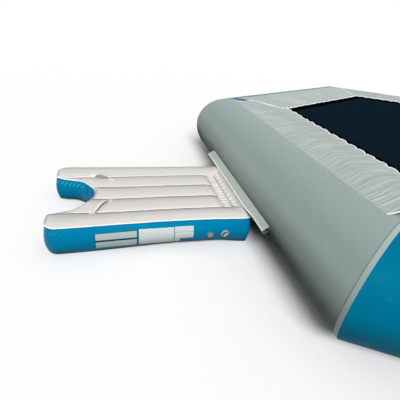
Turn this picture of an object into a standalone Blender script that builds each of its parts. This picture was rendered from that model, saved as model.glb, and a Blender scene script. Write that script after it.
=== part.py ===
"""Inflatable water trampoline: a hexagonal air ring, a sprung jump mat and a boarding platform.

Metres, +Z up. The ring stands on its flat underside at z = 0. Side 1 faces -X and carries
the boarding platform, which lies on the same ground and reaches further along -X.
"""
import math

import bmesh
import bpy
from mathutils import Matrix, Vector

# Air ring
SIDES = 6
SIDE_LENGTH = 2.96
TUBE_DIAMETER = 0.80
TUBE_FACETS = 24
TUBE_SKIN = 0.0012
GAP = 0.0003
FUSE = 0.0005

# Steel frame on the ring's inner shoulder
RAIL_DIAMETER = 0.050
RAIL_WALL = 0.0025
RAIL_SIDES = 12
CRADLE_HEIGHT = 0.014
SPIGOT_LEG = 0.10
SADDLE_WIDTH = 0.060
SADDLE_STRAP = 0.0015
SADDLE_FOOT = 0.024

# Jump mat and the elastic cords that carry it
RINGS_PER_SIDE = 5
RING_PITCH = 0.42
CORD_DIAMETER = 0.007
CORD_SIDES = 5
CORD_SPAN = 0.196
RAIL_TURN_POINTS = 6
RAIL_TURN_STEP = math.pi / 4
RING_TURN_POINTS = 3
RING_TURN_STEP = math.pi / 3
SHARPEST_MITRE_SHARE = 0.5
RING_BITE = 0.021
RING_TURN = 0.0065
V_RING_LENGTH = 0.0594
V_RING_WIDTH = 0.060
V_RING_WIRE = 0.005
MAT_THICKNESS = 0.0015
MAT_BAND_WIDTH = 0.050
MAT_BAND_THICKNESS = 0.002

# Edge cover
COVER_THICKNESS = 0.0015
COVER_LAP = 0.12
COVER_NOTCH = 0.13
COVER_FOLD_HEIGHT = 0.010
COVER_FOLDS = 5
COVER_SAMPLES = 4
COVER_MITRE_GAP = 0.003
COVER_CLEARANCE = 0.0015
COVER_LANDING = 0.020

# Boarding platform
CHAMBERS = 5
CHAMBER_WIDTH = 0.214
PLATFORM_LENGTH = 1.62
PLATFORM_HEIGHT = 0.24
PLATFORM_SKIN = 0.0012
CROWN = 0.025
CROWN_END = 0.060
BOTTOM_ROLL = 0.020
SIDE_BULGE = 0.030
TIP_RADIUS = 0.090
HEEL_RADIUS = 0.050
NOTCH_DEPTH = 0.345
NOTCH_HALF_WIDTH = 0.345
NOTCH_FLARE_POWER = 2.6
NOTCH_NOSE_POWER = 1.25
RECESS_LENGTH = 0.165
RECESS_STEP = 0.006
WEB_MARGIN = 0.055
PANEL_THICKNESS = 0.0015
PANEL_COLUMNS = 10
PANEL_TONGUE = 0.0275
COLUMN_SHARES = (0.0, 0.12, 0.35, 0.65, 0.88)
DECK_ROW_SHARES = (0.0, 0.012, 0.035, 0.10, 0.40, 0.75, 0.95, 0.985, 1.0)
BOTTOM_ROW_SHARES = (0.0, 0.012, 0.035, 0.10, 0.40, 1.0)
RECESS_ROW_SHARES = (0.04, 0.35, 0.64, 0.88, 1.0)
WALL_SHARES = (0.0, 0.15, 0.50, 0.85, 1.0)

# Attachment strips on side 1
STRIP_LENGTH = 1.58
STRIP_BASE = 0.044
STRIP_THICKNESS = 0.002
LIP_THICKNESS = 0.003
UPPER_LIP = 0.066
UPPER_LIP_DROP = math.radians(38.7)
LOWER_LIP = 0.050
LOWER_LIP_DROP = math.radians(28.6)
STRIP_TOP_INSET = 0.004
STRIP_SPACING = 0.008
PIVOT_CLEARANCE = 0.004
PLATFORM_STANDOFF = 0.010

# Valves
VALVE_STEPS = 16
RING_VALVE_RADIUS = 0.050
RING_RELIEF_RADIUS = 0.036
PLATFORM_VALVE_RADIUS = 0.034
PLATFORM_RELIEF_RADIUS = 0.0285
RING_VALVE_PLACE = 0.90
RING_RELIEF_PLACE = 0.72
PLATFORM_VALVE_FROM_HEEL = 0.213
PLATFORM_RELIEF_FROM_HEEL = 0.345
VALVE_FLANGE = 0.005
VALVE_COLLAR = 0.010
VALVE_STEM = 0.030
VALVE_CAP = 0.008
CAP_CHAMFER = 0.0025
CAP_BAR_WIDTH = 0.009
CAP_BAR_HEIGHT = 0.006
CAP_BAR_TURN = math.radians(35)
RELIEF_LOBES = 6
RELIEF_LOBE_DEPTH = 0.0025
STEM_SHARE = 0.5
COLLAR_SHARE = 0.68
CAP_SHARE = 0.80
CAP_BAR_SHARE = 0.64
RELIEF_COVER_SHARE = 0.80
RELIEF_CROWN_SHARE = 0.62
VALVE_FACET = 4

# Mooring points
ANCHOR_PATCH_RADIUS = 0.075
ANCHOR_PATCH_THICKNESS = 0.003
ANCHOR_TAB_WIDTH = 0.040
ANCHOR_TAB_WALL = 0.003
D_RING_WIRE = 0.007
D_RING_WIDTH = 0.058
D_RING_HEIGHT = 0.050
D_RING_CLEARANCE = 0.0006
ANCHOR_FACET = 8
TAB_SIDES = 8
D_RING_SIDES = 6
D_RING_ARC_STEPS = 6

# Platform handles
HANDLE_SPAN = 0.185
HANDLE_RISE = 0.026
HANDLE_WIDTH = 0.025
HANDLE_END_WIDTH = 0.0024
HANDLE_TAPER_SHARE = 0.667
HANDLE_THICKNESS = 0.002
HANDLE_LIFT = 0.0019
HANDLE_STATIONS = 10
HANDLE_FROM_TIP = 0.40
HANDLE_FROM_CENTRE = 0.270
HANDLE_SLANT = math.radians(58)

# Sizes that follow from those above
tube_radius = TUBE_DIAMETER / 2
half_side = SIDE_LENGTH / 2
half_turn = math.pi / SIDES
apothem = half_side / math.tan(half_turn)
facet_angle = 2 * math.pi / TUBE_FACETS
rail_radius = RAIL_DIAMETER / 2
shoulder_angle = 2 * facet_angle
rail_offset = tube_radius + CRADLE_HEIGHT + rail_radius
rail_in = rail_offset * math.sin(shoulder_angle)
rail_height = tube_radius + rail_offset * math.cos(shoulder_angle)
cord_radius = CORD_DIAMETER / 2
cord_start = rail_in + rail_radius + GAP
v_ring_start = cord_start + CORD_SPAN + GAP
mat_edge = v_ring_start + V_RING_LENGTH + GAP
cover_edge = mat_edge + COVER_LAP
mat_top = rail_height + MAT_THICKNESS / 2
rail_turn = rail_radius / math.cos(math.pi / RAIL_SIDES) + cord_radius + GAP
cover_ridge = rail_height + rail_turn + cord_radius + COVER_CLEARANCE
platform_half = CHAMBERS * CHAMBER_WIDTH / 2


def make_material(name, colour, roughness, metallic=0.0):
    """Return a plain Principled material."""
    material = bpy.data.materials.new(name)
    material.use_nodes = True
    shader = material.node_tree.nodes["Principled BSDF"]
    shader.inputs["Base Color"].default_value = (*colour, 1.0)
    shader.inputs["Roughness"].default_value = roughness
    shader.inputs["Metallic"].default_value = metallic
    return material


def make_materials():
    """Return the part's finishes by name."""
    return {
        "grey_pvc": make_material("grey_pvc", (0.30, 0.35, 0.335), 0.42),
        "teal_pvc": make_material("teal_pvc", (0.0, 0.22, 0.36), 0.30),
        "galvanised": make_material("galvanised", (0.55, 0.57, 0.58), 0.35, 1.0),
        "elastic": make_material("elastic", (0.02, 0.025, 0.03), 0.8),
        "webbing": make_material("webbing", (0.05, 0.06, 0.07), 0.85),
        "mat_mesh": make_material("mat_mesh", (0.006, 0.011, 0.02), 0.8),
        "cover_cloth": make_material("cover_cloth", (0.45, 0.49, 0.48), 0.7),
        "white_pvc": make_material("white_pvc", (0.66, 0.66, 0.63), 0.5),
        "strip_pvc": make_material("strip_pvc", (0.42, 0.43, 0.42), 0.5),
        "valve_plastic": make_material("valve_plastic", (0.25, 0.26, 0.26), 0.5),
        "stainless": make_material("stainless", (0.62, 0.62, 0.62), 0.25, 1.0),
    }


def loft(bm, rings, closed=False):
    """Skin rings of equal count with quads, and cap the ends unless the rings run round."""
    layers = [[bm.verts.new(point) for point in ring] for ring in rings]
    pairs = list(zip(layers, layers[1:]))
    if closed:
        pairs.append((layers[-1], layers[0]))
    for first, second in pairs:
        for i in range(len(first)):
            j = (i + 1) % len(first)
            bm.faces.new((first[i], first[j], second[j], second[i]))
    if not closed:
        bm.faces.new(layers[0])
        bm.faces.new(layers[-1])


def shell(bm, outer, inner):
    """Close the space between two grids of equal size into a thin sheet."""
    rows, columns = len(outer), len(outer[0])
    top = [[bm.verts.new(point) for point in row] for row in outer]
    low = [[bm.verts.new(point) for point in row] for row in inner]
    for i in range(rows - 1):
        for j in range(columns - 1):
            bm.faces.new((top[i][j], top[i][j + 1], top[i + 1][j + 1], top[i + 1][j]))
            bm.faces.new((low[i][j], low[i + 1][j], low[i + 1][j + 1], low[i][j + 1]))
    rim = [(0, j) for j in range(columns)]
    rim += [(i, columns - 1) for i in range(1, rows)]
    rim += [(rows - 1, j) for j in range(columns - 2, -1, -1)]
    rim += [(i, 0) for i in range(rows - 2, 0, -1)]
    for (i, j), (k, m) in zip(rim, rim[1:] + rim[:1]):
        bm.faces.new((top[i][j], low[i][j], low[k][m], top[k][m]))


def box(bm, low, high):
    """Add a box between two corners."""
    corners = [(low[0], low[1]), (high[0], low[1]), (high[0], high[1]), (low[0], high[1])]
    loft(bm, [[Vector((x, y, z)) for x, y in corners] for z in (low[2], high[2])])


def turned(bm, profile, origin, axis, lobes=0, lobe_depth=0.0, steps=VALVE_STEPS):
    """Turn a profile of (radius, height) pairs about an axis; lobes scallop its wall."""
    turn = Vector((0, 0, 1)).rotation_difference(Vector(axis)).to_matrix()
    rings = []
    for radius, height in profile:
        ring = []
        for i in range(steps):
            angle = 2 * math.pi * i / steps
            reach = radius + lobe_depth * math.cos(lobes * angle)
            point = Vector((reach * math.cos(angle), reach * math.sin(angle), height))
            ring.append(Vector(origin) + turn @ point)
        rings.append(ring)
    loft(bm, rings)


def finish_object(name, bm, material, parent, pivot=None, smooth=math.radians(40)):
    """Turn a bmesh into a named object under the part's empty, with its origin at the pivot."""
    bmesh.ops.recalc_face_normals(bm, faces=bm.faces)
    pivot = Vector(pivot or (0, 0, 0))
    bmesh.ops.translate(bm, verts=bm.verts, vec=-pivot)
    mesh = bpy.data.meshes.new(name)
    bm.to_mesh(mesh)
    bm.free()
    mesh.shade_smooth()
    mesh.set_sharp_from_angle(angle=smooth)
    mesh.materials.append(material)
    obj = bpy.data.objects.new(name, mesh)
    bpy.context.scene.collection.objects.link(obj)
    obj.parent = parent
    obj.location = pivot
    return obj


def combine(obj, name, bm, operation, parent):
    """Join a hidden guide to an object, or cut it away."""
    guide = finish_object(name, bm, obj.data.materials[0], parent)
    guide.hide_render = True
    guide.display_type = "WIRE"
    step = obj.modifiers.new(name, "BOOLEAN")
    step.operation = operation
    step.solver = "EXACT"
    step.object = guide


def drill(obj, name, origin, axis, radius, depth, parent):
    """Cut a round hole through an object's skin."""
    bm = bmesh.new()
    turned(bm, [(radius, -depth), (radius, depth)], origin, axis)
    combine(obj, name, bm, "DIFFERENCE", parent)


def side_point(side, out, along, height):
    """Point at a distance outward from a side's tube axis; the ring's centre is at x = apothem."""
    angle = math.pi + 2 * half_turn * side
    reach = apothem + out
    x = apothem + reach * math.cos(angle) - along * math.sin(angle)
    y = reach * math.sin(angle) + along * math.cos(angle)
    return Vector((x, y, height))


def side_direction(side, out, along, height):
    """Direction in a side's own frame, turned into the part's frame."""
    return side_point(side, out, along, height) - side_point(side, 0, 0, 0)


def mitre(out):
    """Half length of a side at a distance outward from the tube axis, less half the joint gap."""
    return half_side + out * math.tan(half_turn) - GAP / 2 / math.cos(half_turn)


def tube_outline(flat_radius):
    """Cross-section of the tube as (outward, height), with a flat facet underneath."""
    corner = flat_radius / math.cos(facet_angle / 2)
    angles = [facet_angle * (i + 0.5) for i in range(TUBE_FACETS)]
    return [(corner * math.sin(a), tube_radius + corner * math.cos(a)) for a in angles]


def round_outline(flat_radius, out, height, count):
    """Regular outline about a point of the cross-section, with flats on both axes."""
    corner = flat_radius / math.cos(math.pi / count)
    angles = [2 * math.pi * (i + 0.5) / count for i in range(count)]
    return [(out + corner * math.sin(a), height + corner * math.cos(a)) for a in angles]


def mitred_pipe(bm, side, outer, inner):
    """Open pipe along a side, both ends cut on the mitre planes."""
    rings = []
    for outline, end in ((outer, -1), (outer, 1), (inner, 1), (inner, -1)):
        rings.append([side_point(side, u, end * mitre(u), z) for u, z in outline])
    loft(bm, rings, closed=True)


def build_ring(mats, root):
    """Six air tube lengths, grey and teal by turns."""
    tubes = []
    for side in range(SIDES):
        bm = bmesh.new()
        mitred_pipe(bm, side, tube_outline(tube_radius), tube_outline(tube_radius - TUBE_SKIN))
        colour = mats["teal_pvc"] if side % 2 else mats["grey_pvc"]
        tubes.append(finish_object(f"tube_segment_{side + 1}", bm, colour, root))
    return tubes


def build_frame(mats, root):
    """Steel rails, each with a bent spigot that plugs into the next one."""
    inside = rail_radius - RAIL_WALL
    outer = round_outline(rail_radius, -rail_in, rail_height, RAIL_SIDES)
    inner = round_outline(inside, -rail_in, rail_height, RAIL_SIDES)
    tight = round_outline(inside + FUSE, -rail_in, rail_height, RAIL_SIDES)
    slim = round_outline(inside - GAP, -rail_in, rail_height, RAIL_SIDES)
    leg = half_side - rail_in * math.tan(half_turn) - SPIGOT_LEG
    for side in range(SIDES):
        after = (side + 1) % SIDES
        bm = bmesh.new()
        mitred_pipe(bm, side, outer, inner)
        rail = finish_object(f"frame_rail_{side + 1}", bm, mats["galvanised"], root)
        rings = [[side_point(side, u, leg, z) for u, z in tight]]
        rings.append([side_point(side, u, mitre(u) - GAP, z) for u, z in tight])
        rings.append([side_point(side, u, mitre(u) - GAP, z) for u, z in slim])
        rings.append([side_point(side, u, half_side + u * math.tan(half_turn), z) for u, z in slim])
        rings.append([side_point(after, u, -leg, z) for u, z in slim])
        bm = bmesh.new()
        loft(bm, rings)
        combine(rail, f"spigot_{side + 1}", bm, "UNION", root)
    build_saddles(mats, root)


def on_shoulder(side, along, across, lift):
    """Point on the shoulder facet that carries the rail: across it, and lifted off it."""
    s, c = math.sin(shoulder_angle), math.cos(shoulder_angle)
    out = -(tube_radius + lift) * s - across * c
    height = tube_radius + (tube_radius + lift) * c - across * s
    return side_point(side, out, along, height)


def build_saddles(mats, root):
    """One welded saddle on each side: a cradle under the rail and a strap over it."""
    centre = CRADLE_HEIGHT + rail_radius
    half_facet = math.pi / RAIL_SIDES
    top = rail_radius + GAP + SADDLE_STRAP
    foot = top + SADDLE_FOOT
    sole = GAP + SADDLE_STRAP
    outline = [(-foot, GAP), (-foot, sole), (-top, sole)]
    for k in (-5, -3, -1, 1, 3, 5):
        corner = top / math.cos(half_facet)
        outline.append((corner * math.sin(half_facet * k), centre + corner * math.cos(half_facet * k)))
    outline += [(top, sole), (foot, sole), (foot, GAP)]
    bore = round_outline(rail_radius + GAP, 0, centre, RAIL_SIDES)
    half = SADDLE_WIDTH / 2
    for side in range(SIDES):
        bm = bmesh.new()
        loft(bm, [[on_shoulder(side, along, p, q) for p, q in outline] for along in (-half, half)])
        saddle = finish_object(f"frame_saddle_{side + 1}", bm, mats["webbing"], root)
        bm = bmesh.new()
        ends = (-SADDLE_WIDTH, SADDLE_WIDTH)
        loft(bm, [[on_shoulder(side, along, p, q) for p, q in bore] for along in ends])
        combine(saddle, f"saddle_bore_{side + 1}", bm, "DIFFERENCE", root)


def ring_places():
    """Places of the mat's rings along a side, in pairs about its middle."""
    return [(i - (RINGS_PER_SIDE - 1) / 2) * RING_PITCH for i in range(RINGS_PER_SIDE)]


def cord_route():
    """Route of one side's cord as (inward, along, height): round the rail, through each ring."""
    rail_reach = rail_turn / math.cos(RAIL_TURN_STEP / 2)
    ring_reach = RING_TURN / math.cos(RING_TURN_STEP / 2)
    bite = v_ring_start + RING_BITE
    route = []
    for i in range(RINGS_PER_SIDE + 1):
        along = (i - RINGS_PER_SIDE / 2) * RING_PITCH
        for k in range(RAIL_TURN_POINTS):
            angle = RAIL_TURN_STEP * (RAIL_TURN_POINTS - k + 0.5)
            inward = rail_in + rail_reach * math.cos(angle)
            route.append((inward, along, rail_height + rail_reach * math.sin(angle)))
        if i == RINGS_PER_SIDE:
            break
        for k in range(RING_TURN_POINTS):
            angle = RING_TURN_STEP * (1 - k)
            inward = bite + ring_reach * math.cos(angle)
            route.append((inward, along + RING_PITCH / 2, rail_height + ring_reach * math.sin(angle)))
    return route


def sweep(bm, path, radius, count):
    """Round bar along a path of points, with filled ends."""
    rings = []
    up = Vector((0, 0, 1))
    before = None
    for i, point in enumerate(path):
        back = (point - path[i - 1]).normalized() if i else None
        ahead = (path[i + 1] - point).normalized() if i + 1 < len(path) else back
        back = back or ahead
        run = (back + ahead).normalized()
        if before is None:
            before = run.cross(up).normalized()
        side = (before - run * before.dot(run)).normalized()
        before = side
        lift = run.cross(side)
        bend = ahead - back
        stretch = 1 / max(run.dot(ahead), SHARPEST_MITRE_SHARE)
        ring = []
        for k in range(count):
            angle = 2 * math.pi * (k + 0.5) / count
            offset = side * (radius * math.cos(angle)) + lift * (radius * math.sin(angle))
            if bend.length > FUSE:
                fold = bend.normalized()
                offset += fold * (offset.dot(fold) * (stretch - 1))
            ring.append(point + offset)
        rings.append(ring)
    loft(bm, rings)


def build_cords(mats, root):
    """One elastic cord on each side, laced between the rail and the mat's rings."""
    for side in range(SIDES):
        bm = bmesh.new()
        path = [side_point(side, -w, v, z) for w, v, z in cord_route()]
        sweep(bm, path, cord_radius, CORD_SIDES)
        finish_object(f"elastic_cord_{side + 1}", bm, mats["elastic"], root)


def hexagon(reach, height):
    """Corners of the regular outline whose flats lie inward of the tube axis by a distance."""
    return [side_point(side, -reach, mitre(-reach), height) for side in range(SIDES)]


def build_bed(mats, root):
    """Jump mat, and the webbing under its edge with the wire rings that take the cords."""
    bm = bmesh.new()
    loft(bm, [hexagon(mat_edge, mat_top - MAT_THICKNESS), hexagon(mat_edge, mat_top)])
    finish_object("jump_mat", bm, mats["mat_mesh"], root, smooth=math.radians(20))
    bm = bmesh.new()
    top = mat_top - MAT_THICKNESS - GAP
    low = top - MAT_BAND_THICKNESS
    outer = mat_edge - GAP - V_RING_WIRE / 2
    inner = mat_edge + MAT_BAND_WIDTH
    rings = [hexagon(outer, low), hexagon(outer, top), hexagon(inner, top), hexagon(inner, low)]
    loft(bm, rings, closed=True)
    webbing = finish_object("mat_webbing", bm, mats["webbing"], root, smooth=math.radians(20))
    bm = bmesh.new()
    half = V_RING_WIDTH / 2
    edge = math.hypot(half, V_RING_LENGTH)
    inradius = half * V_RING_LENGTH / (half + edge)
    hole_share = 1 - V_RING_WIRE / inradius
    base = v_ring_start + V_RING_LENGTH
    centre = base - inradius
    corners = [(v_ring_start, 0.0), (base, half), (base, -half)]
    for side in range(SIDES):
        for place in ring_places():
            rings = []
            for inward, along in corners:
                hole = centre + (inward - centre) * hole_share
                ring = []
                for w, v, lift in ((inward, along, -1), (inward, along, 1),
                                   (hole, along * hole_share, 1), (hole, along * hole_share, -1)):
                    height = rail_height + lift * V_RING_WIRE / 2
                    ring.append(side_point(side, -w, place + v, height))
                rings.append(ring)
            loft(bm, rings, closed=True)
    combine(webbing, "v_rings", bm, "UNION", root)


def cover_line():
    """The cover's underside across a side: over the rail and rings, then down onto the mat."""
    rest = 2 * tube_radius + GAP
    landing = mat_top + GAP
    tube_flat = tube_radius * math.tan(facet_angle / 2)
    over_ring = rail_height + RING_TURN + cord_radius + COVER_CLEARANCE
    return [(0.0, rest), (tube_flat, rest), (rail_in - rail_turn, cover_ridge),
            (rail_in + rail_radius, cover_ridge), (v_ring_start + RING_BITE + RING_TURN, over_ring),
            (mat_edge + COVER_LANDING, landing), (cover_edge, landing)]


def build_covers(mats, root):
    """Gathered covers over the cords, square-ended at the tube and mitred over the mat."""
    columns = COVER_FOLDS * COVER_SAMPLES
    shoulder = rail_in + rail_radius
    for side in range(SIDES):
        low, top = [], []
        for inward, height in cover_line():
            half = min(half_side - COVER_NOTCH, mitre(-inward) - COVER_MITRE_GAP)
            depth = COVER_FOLD_HEIGHT * max(0.0, inward - shoulder) / (cover_edge - shoulder)
            row = []
            for j in range(columns + 1):
                wave = 0.5 - 0.5 * math.cos(2 * math.pi * COVER_FOLDS * j / columns)
                along = half * (2 * j / columns - 1)
                row.append(side_point(side, -inward, along, height + depth * wave))
            low.append(row)
            top.append([point + Vector((0, 0, COVER_THICKNESS)) for point in row])
        bm = bmesh.new()
        shell(bm, top, low)
        finish_object(f"edge_cover_{side + 1}", bm, mats["cover_cloth"], root)


def valve_profile(radius):
    """Flange, collar and stem of a valve body, heights measured off the fabric."""
    collar = radius * COLLAR_SHARE
    stem = radius * STEM_SHARE
    return [(stem, -VALVE_STEM), (stem, GAP), (radius, GAP), (radius, GAP + VALVE_FLANGE),
            (collar, GAP + VALVE_FLANGE), (collar, GAP + VALVE_COLLAR)]


def build_cap(name, mats, root, radius, origin, axis, along):
    """Screw cap that sits on a valve's collar, with a bar across it for the fingers."""
    rim = radius * CAP_SHARE
    foot = GAP + VALVE_COLLAR + GAP
    head = foot + VALVE_CAP
    bm = bmesh.new()
    profile = [(rim, foot), (rim, head - CAP_CHAMFER), (rim - CAP_CHAMFER, head)]
    turned(bm, profile, origin, axis)
    cap = finish_object(name, bm, mats["valve_plastic"], root, pivot=origin)
    up = Vector(axis)
    side = Vector(along).normalized()
    turn = Matrix.Rotation(CAP_BAR_TURN, 3, up)
    run, cross = turn @ side, turn @ up.cross(side)
    half_run, half_cross = radius * CAP_BAR_SHARE, CAP_BAR_WIDTH / 2
    bm = bmesh.new()
    rings = []
    for height in (head - CAP_CHAMFER, head + CAP_BAR_HEIGHT):
        ring = []
        for a, b in ((-1, -1), (1, -1), (1, 1), (-1, 1)):
            ring.append(origin + run * (a * half_run) + cross * (b * half_cross) + up * height)
        rings.append(ring)
    loft(bm, rings)
    combine(cap, f"{name}_bar", bm, "UNION", root)


def build_relief(name, mats, root, radius, origin, axis, pivot=None):
    """Pressure relief valve: a flange, and a knob whose lobes show like petals."""
    stem = radius * STEM_SHARE
    cover = radius * RELIEF_COVER_SHARE
    crown = radius * RELIEF_CROWN_SHARE
    profile = [(stem, -VALVE_STEM), (stem, GAP), (radius, GAP), (radius, GAP + VALVE_FLANGE),
               (cover, GAP + VALVE_FLANGE), (crown, GAP + VALVE_COLLAR)]
    bm = bmesh.new()
    turned(bm, profile, origin, axis, RELIEF_LOBES, RELIEF_LOBE_DEPTH)
    finish_object(name, bm, mats["valve_plastic"], root, pivot=pivot)


def build_ring_valves(mats, root, tubes):
    """Filling valve with its cap, and the relief valve, on the side opposite the platform."""
    side = SIDES // 2
    angle = VALVE_FACET * facet_angle
    axis = side_direction(side, math.sin(angle), 0, math.cos(angle))
    places = {}
    for name, along, radius in (("valve", RING_VALVE_PLACE, RING_VALVE_RADIUS),
                                ("relief", RING_RELIEF_PLACE, RING_RELIEF_RADIUS)):
        out = tube_radius * math.sin(angle)
        origin = side_point(side, out, along, tube_radius + tube_radius * math.cos(angle))
        places[name] = origin
        hole = radius * STEM_SHARE + RELIEF_LOBE_DEPTH + GAP
        drill(tubes[side], f"ring_{name}_hole", origin, axis, hole, VALVE_FLANGE, root)
    bm = bmesh.new()
    turned(bm, valve_profile(RING_VALVE_RADIUS), places["valve"], axis)
    finish_object("ring_valve_body", bm, mats["valve_plastic"], root)
    run = side_direction(side, 0, 1, 0)
    build_cap("ring_valve_cap", mats, root, RING_VALVE_RADIUS, places["valve"], axis, run)
    build_relief("ring_relief_valve", mats, root, RING_RELIEF_RADIUS, places["relief"], axis)


def build_anchors(mats, root):
    """Mooring patches under the ring's inner face, each with a tab and a D-ring that hangs."""
    angle = ANCHOR_FACET * facet_angle
    s, c = math.sin(angle), math.cos(angle)
    bore = D_RING_WIRE / 2 + D_RING_CLEARANCE
    tab_radius = bore + ANCHOR_TAB_WALL
    lift = GAP + ANCHOR_PATCH_THICKNESS + tab_radius - FUSE
    for number, side in enumerate(range(1, SIDES, 2), start=1):
        face = side_point(side, -tube_radius * s, 0, tube_radius + tube_radius * c)
        normal = side_direction(side, -s, 0, c)
        run = side_direction(side, 0, 1, 0)
        bm = bmesh.new()
        profile = [(ANCHOR_PATCH_RADIUS, GAP), (ANCHOR_PATCH_RADIUS, GAP + ANCHOR_PATCH_THICKNESS)]
        turned(bm, profile, face, normal)
        patch = finish_object(f"anchor_patch_{number}", bm, mats["grey_pvc"], root)
        centre = face + normal * lift
        cross = run.cross(normal)
        rings = []
        for radius, end in ((tab_radius, -1), (tab_radius, 1), (bore, 1), (bore, -1)):
            ring = []
            for i in range(TAB_SIDES):
                turn = 2 * math.pi * (i + 0.5) / TAB_SIDES
                reach = radius / math.cos(math.pi / TAB_SIDES)
                offset = normal * (reach * math.cos(turn)) + cross * (reach * math.sin(turn))
                ring.append(centre + offset + run * (end * ANCHOR_TAB_WIDTH / 2))
            rings.append(ring)
        bm = bmesh.new()
        loft(bm, rings, closed=True)
        combine(patch, f"anchor_tab_{number}", bm, "UNION", root)
        build_d_ring(mats, root, number, centre, run)


def build_d_ring(mats, root, number, centre, run):
    """Bent wire D whose straight bar lies in the tab's bore."""
    half = D_RING_WIDTH / 2
    path = [(-half, 0.0), (half, 0.0)]
    for i in range(D_RING_ARC_STEPS + 1):
        angle = math.pi * i / D_RING_ARC_STEPS
        path.append((half * math.cos(angle), -(D_RING_HEIGHT - half) - half * math.sin(angle)))
    bm = bmesh.new()
    rings = []
    count = len(path)
    for i, (along, drop) in enumerate(path):
        before = Vector(path[i - 1])
        after = Vector(path[(i + 1) % count])
        here = Vector((along, drop))
        bisector = ((here - before).normalized() - (after - here).normalized())
        miter_in = -bisector.normalized()
        half_angle = (here - before).angle(after - here) / 2
        stretch = 1 / max(math.cos(half_angle), SHARPEST_MITRE_SHARE)
        ring = []
        for k in range(D_RING_SIDES):
            turn = 2 * math.pi * (k + 0.5) / D_RING_SIDES
            reach = D_RING_WIRE / 2
            flat = miter_in * (reach * math.cos(turn) * stretch)
            point = centre + run * (along + flat.x) + Vector((0, 0, drop + flat.y))
            ring.append(point + run.cross(Vector((0, 0, 1))) * (reach * math.sin(turn)))
        rings.append(ring)
    loft(bm, rings, closed=True)
    finish_object(f"d_ring_{number}", bm, mats["stainless"], root, pivot=centre)


def strip_faces():
    """Corner, downward direction and normal of the tube facet that carries the strips."""
    upper = tube_outline(tube_radius)[TUBE_FACETS // 4]
    lower = tube_outline(tube_radius)[TUBE_FACETS // 4 + 1]
    start = Vector(upper)
    down = (Vector(lower) - start).normalized()
    return start, down, Vector((-down.y, down.x))


def strip_profile(inset, lip_length, drop):
    """Base on the facet with a lip that stands out from its top edge, as (outward, height)."""
    start, down, normal = strip_faces()
    top = start + down * inset + normal * GAP
    foot = top + down * STRIP_BASE
    lip = Vector((math.cos(drop), -math.sin(drop)))
    lip_under = Vector((-lip.y, lip.x)) * -LIP_THICKNESS
    end = top + lip * lip_length
    throat = top + normal * STRIP_THICKNESS + down * (2 * LIP_THICKNESS)
    along = (throat - (top + lip_under)).dot(lip)
    root_under = top + lip_under + lip * along
    return [top, foot, foot + normal * STRIP_THICKNESS, root_under, end + lip_under, end]


def build_strips(mats, root):
    """Two strips welded to side 1: a cover lip above and the lip that carries the platform."""
    lower_inset = STRIP_TOP_INSET + STRIP_BASE + STRIP_SPACING
    for name, inset, length, drop, finish in (
            ("attachment_cover_strip", STRIP_TOP_INSET, UPPER_LIP, UPPER_LIP_DROP, "strip_pvc"),
            ("attachment_lower_strip", lower_inset, LOWER_LIP, LOWER_LIP_DROP, "webbing")):
        bm = bmesh.new()
        outline = strip_profile(inset, length, drop)
        half = STRIP_LENGTH / 2
        loft(bm, [[side_point(0, u, along, z) for u, z in outline] for along in (-half, half)])
        finish_object(name, bm, mats[finish], root, smooth=math.radians(20))
    return strip_profile(lower_inset, LOWER_LIP, LOWER_LIP_DROP)


def platform_ends(y, heel, tip):
    """Where the platform's seam starts and ends along X at a distance from its middle."""
    size = abs(y)
    inset = platform_half - size
    start, end = tip, heel
    if inset < TIP_RADIUS:
        start += TIP_RADIUS - math.sqrt(TIP_RADIUS ** 2 - (TIP_RADIUS - inset) ** 2)
    if inset < HEEL_RADIUS:
        end -= HEEL_RADIUS - math.sqrt(HEEL_RADIUS ** 2 - (HEEL_RADIUS - inset) ** 2)
    if size < NOTCH_HALF_WIDTH:
        share = size / NOTCH_HALF_WIDTH
        start += NOTCH_DEPTH * (1 - share ** NOTCH_FLARE_POWER) ** NOTCH_NOSE_POWER
    return start, end


def platform_columns():
    """Places across the platform: close at the seams between chambers."""
    places = []
    for chamber in range(CHAMBERS):
        for share in COLUMN_SHARES:
            places.append(-platform_half + CHAMBER_WIDTH * (chamber + share))
    return places + [platform_half]


def top_height(x, y, start, end):
    """Height of the top sheet: crowned chambers, flat where the hinge panel lies."""
    seam = platform_half - abs(y)
    inner = seam > CHAMBER_WIDTH - GAP
    stop = end - RECESS_LENGTH if inner else end
    if inner and x >= stop:
        return PLATFORM_HEIGHT - RECESS_STEP * min(1.0, (x - stop) / RECESS_STEP, (end - x) / RECESS_STEP)
    across = (seam / CHAMBER_WIDTH) % 1.0
    profile = math.sqrt(max(0.0, 1 - (2 * across - 1) ** 2))
    reach = min(x - start, stop - x, CROWN_END) / CROWN_END
    fade = math.sqrt(max(0.0, 1 - (1 - max(0.0, reach)) ** 2))
    return PLATFORM_HEIGHT + CROWN * profile * fade


def platform_grid(heel, tip, deck_row_shares):
    """Grid of (x, y, start, end) over the platform's plan."""
    rows = []
    ends = [(y, *platform_ends(y, heel, tip)) for y in platform_columns()]
    for share in deck_row_shares:
        rows.append([(a + (b - RECESS_LENGTH - a) * share, y, a, b) for y, a, b in ends])
    for share in RECESS_ROW_SHARES:
        rows.append([(b - RECESS_LENGTH * (1 - share), y, a, b) for y, a, b in ends])
    return rows


def seam_outline(heel, tip):
    """The platform's seam in plan, round the tips, the notch, the heel and the straight sides."""
    columns = platform_columns()
    outer = [Vector((platform_ends(y, heel, tip)[0], y)) for y in columns]
    inner = [Vector((platform_ends(y, heel, tip)[1], y)) for y in reversed(columns)]
    return outer + inner


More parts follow.
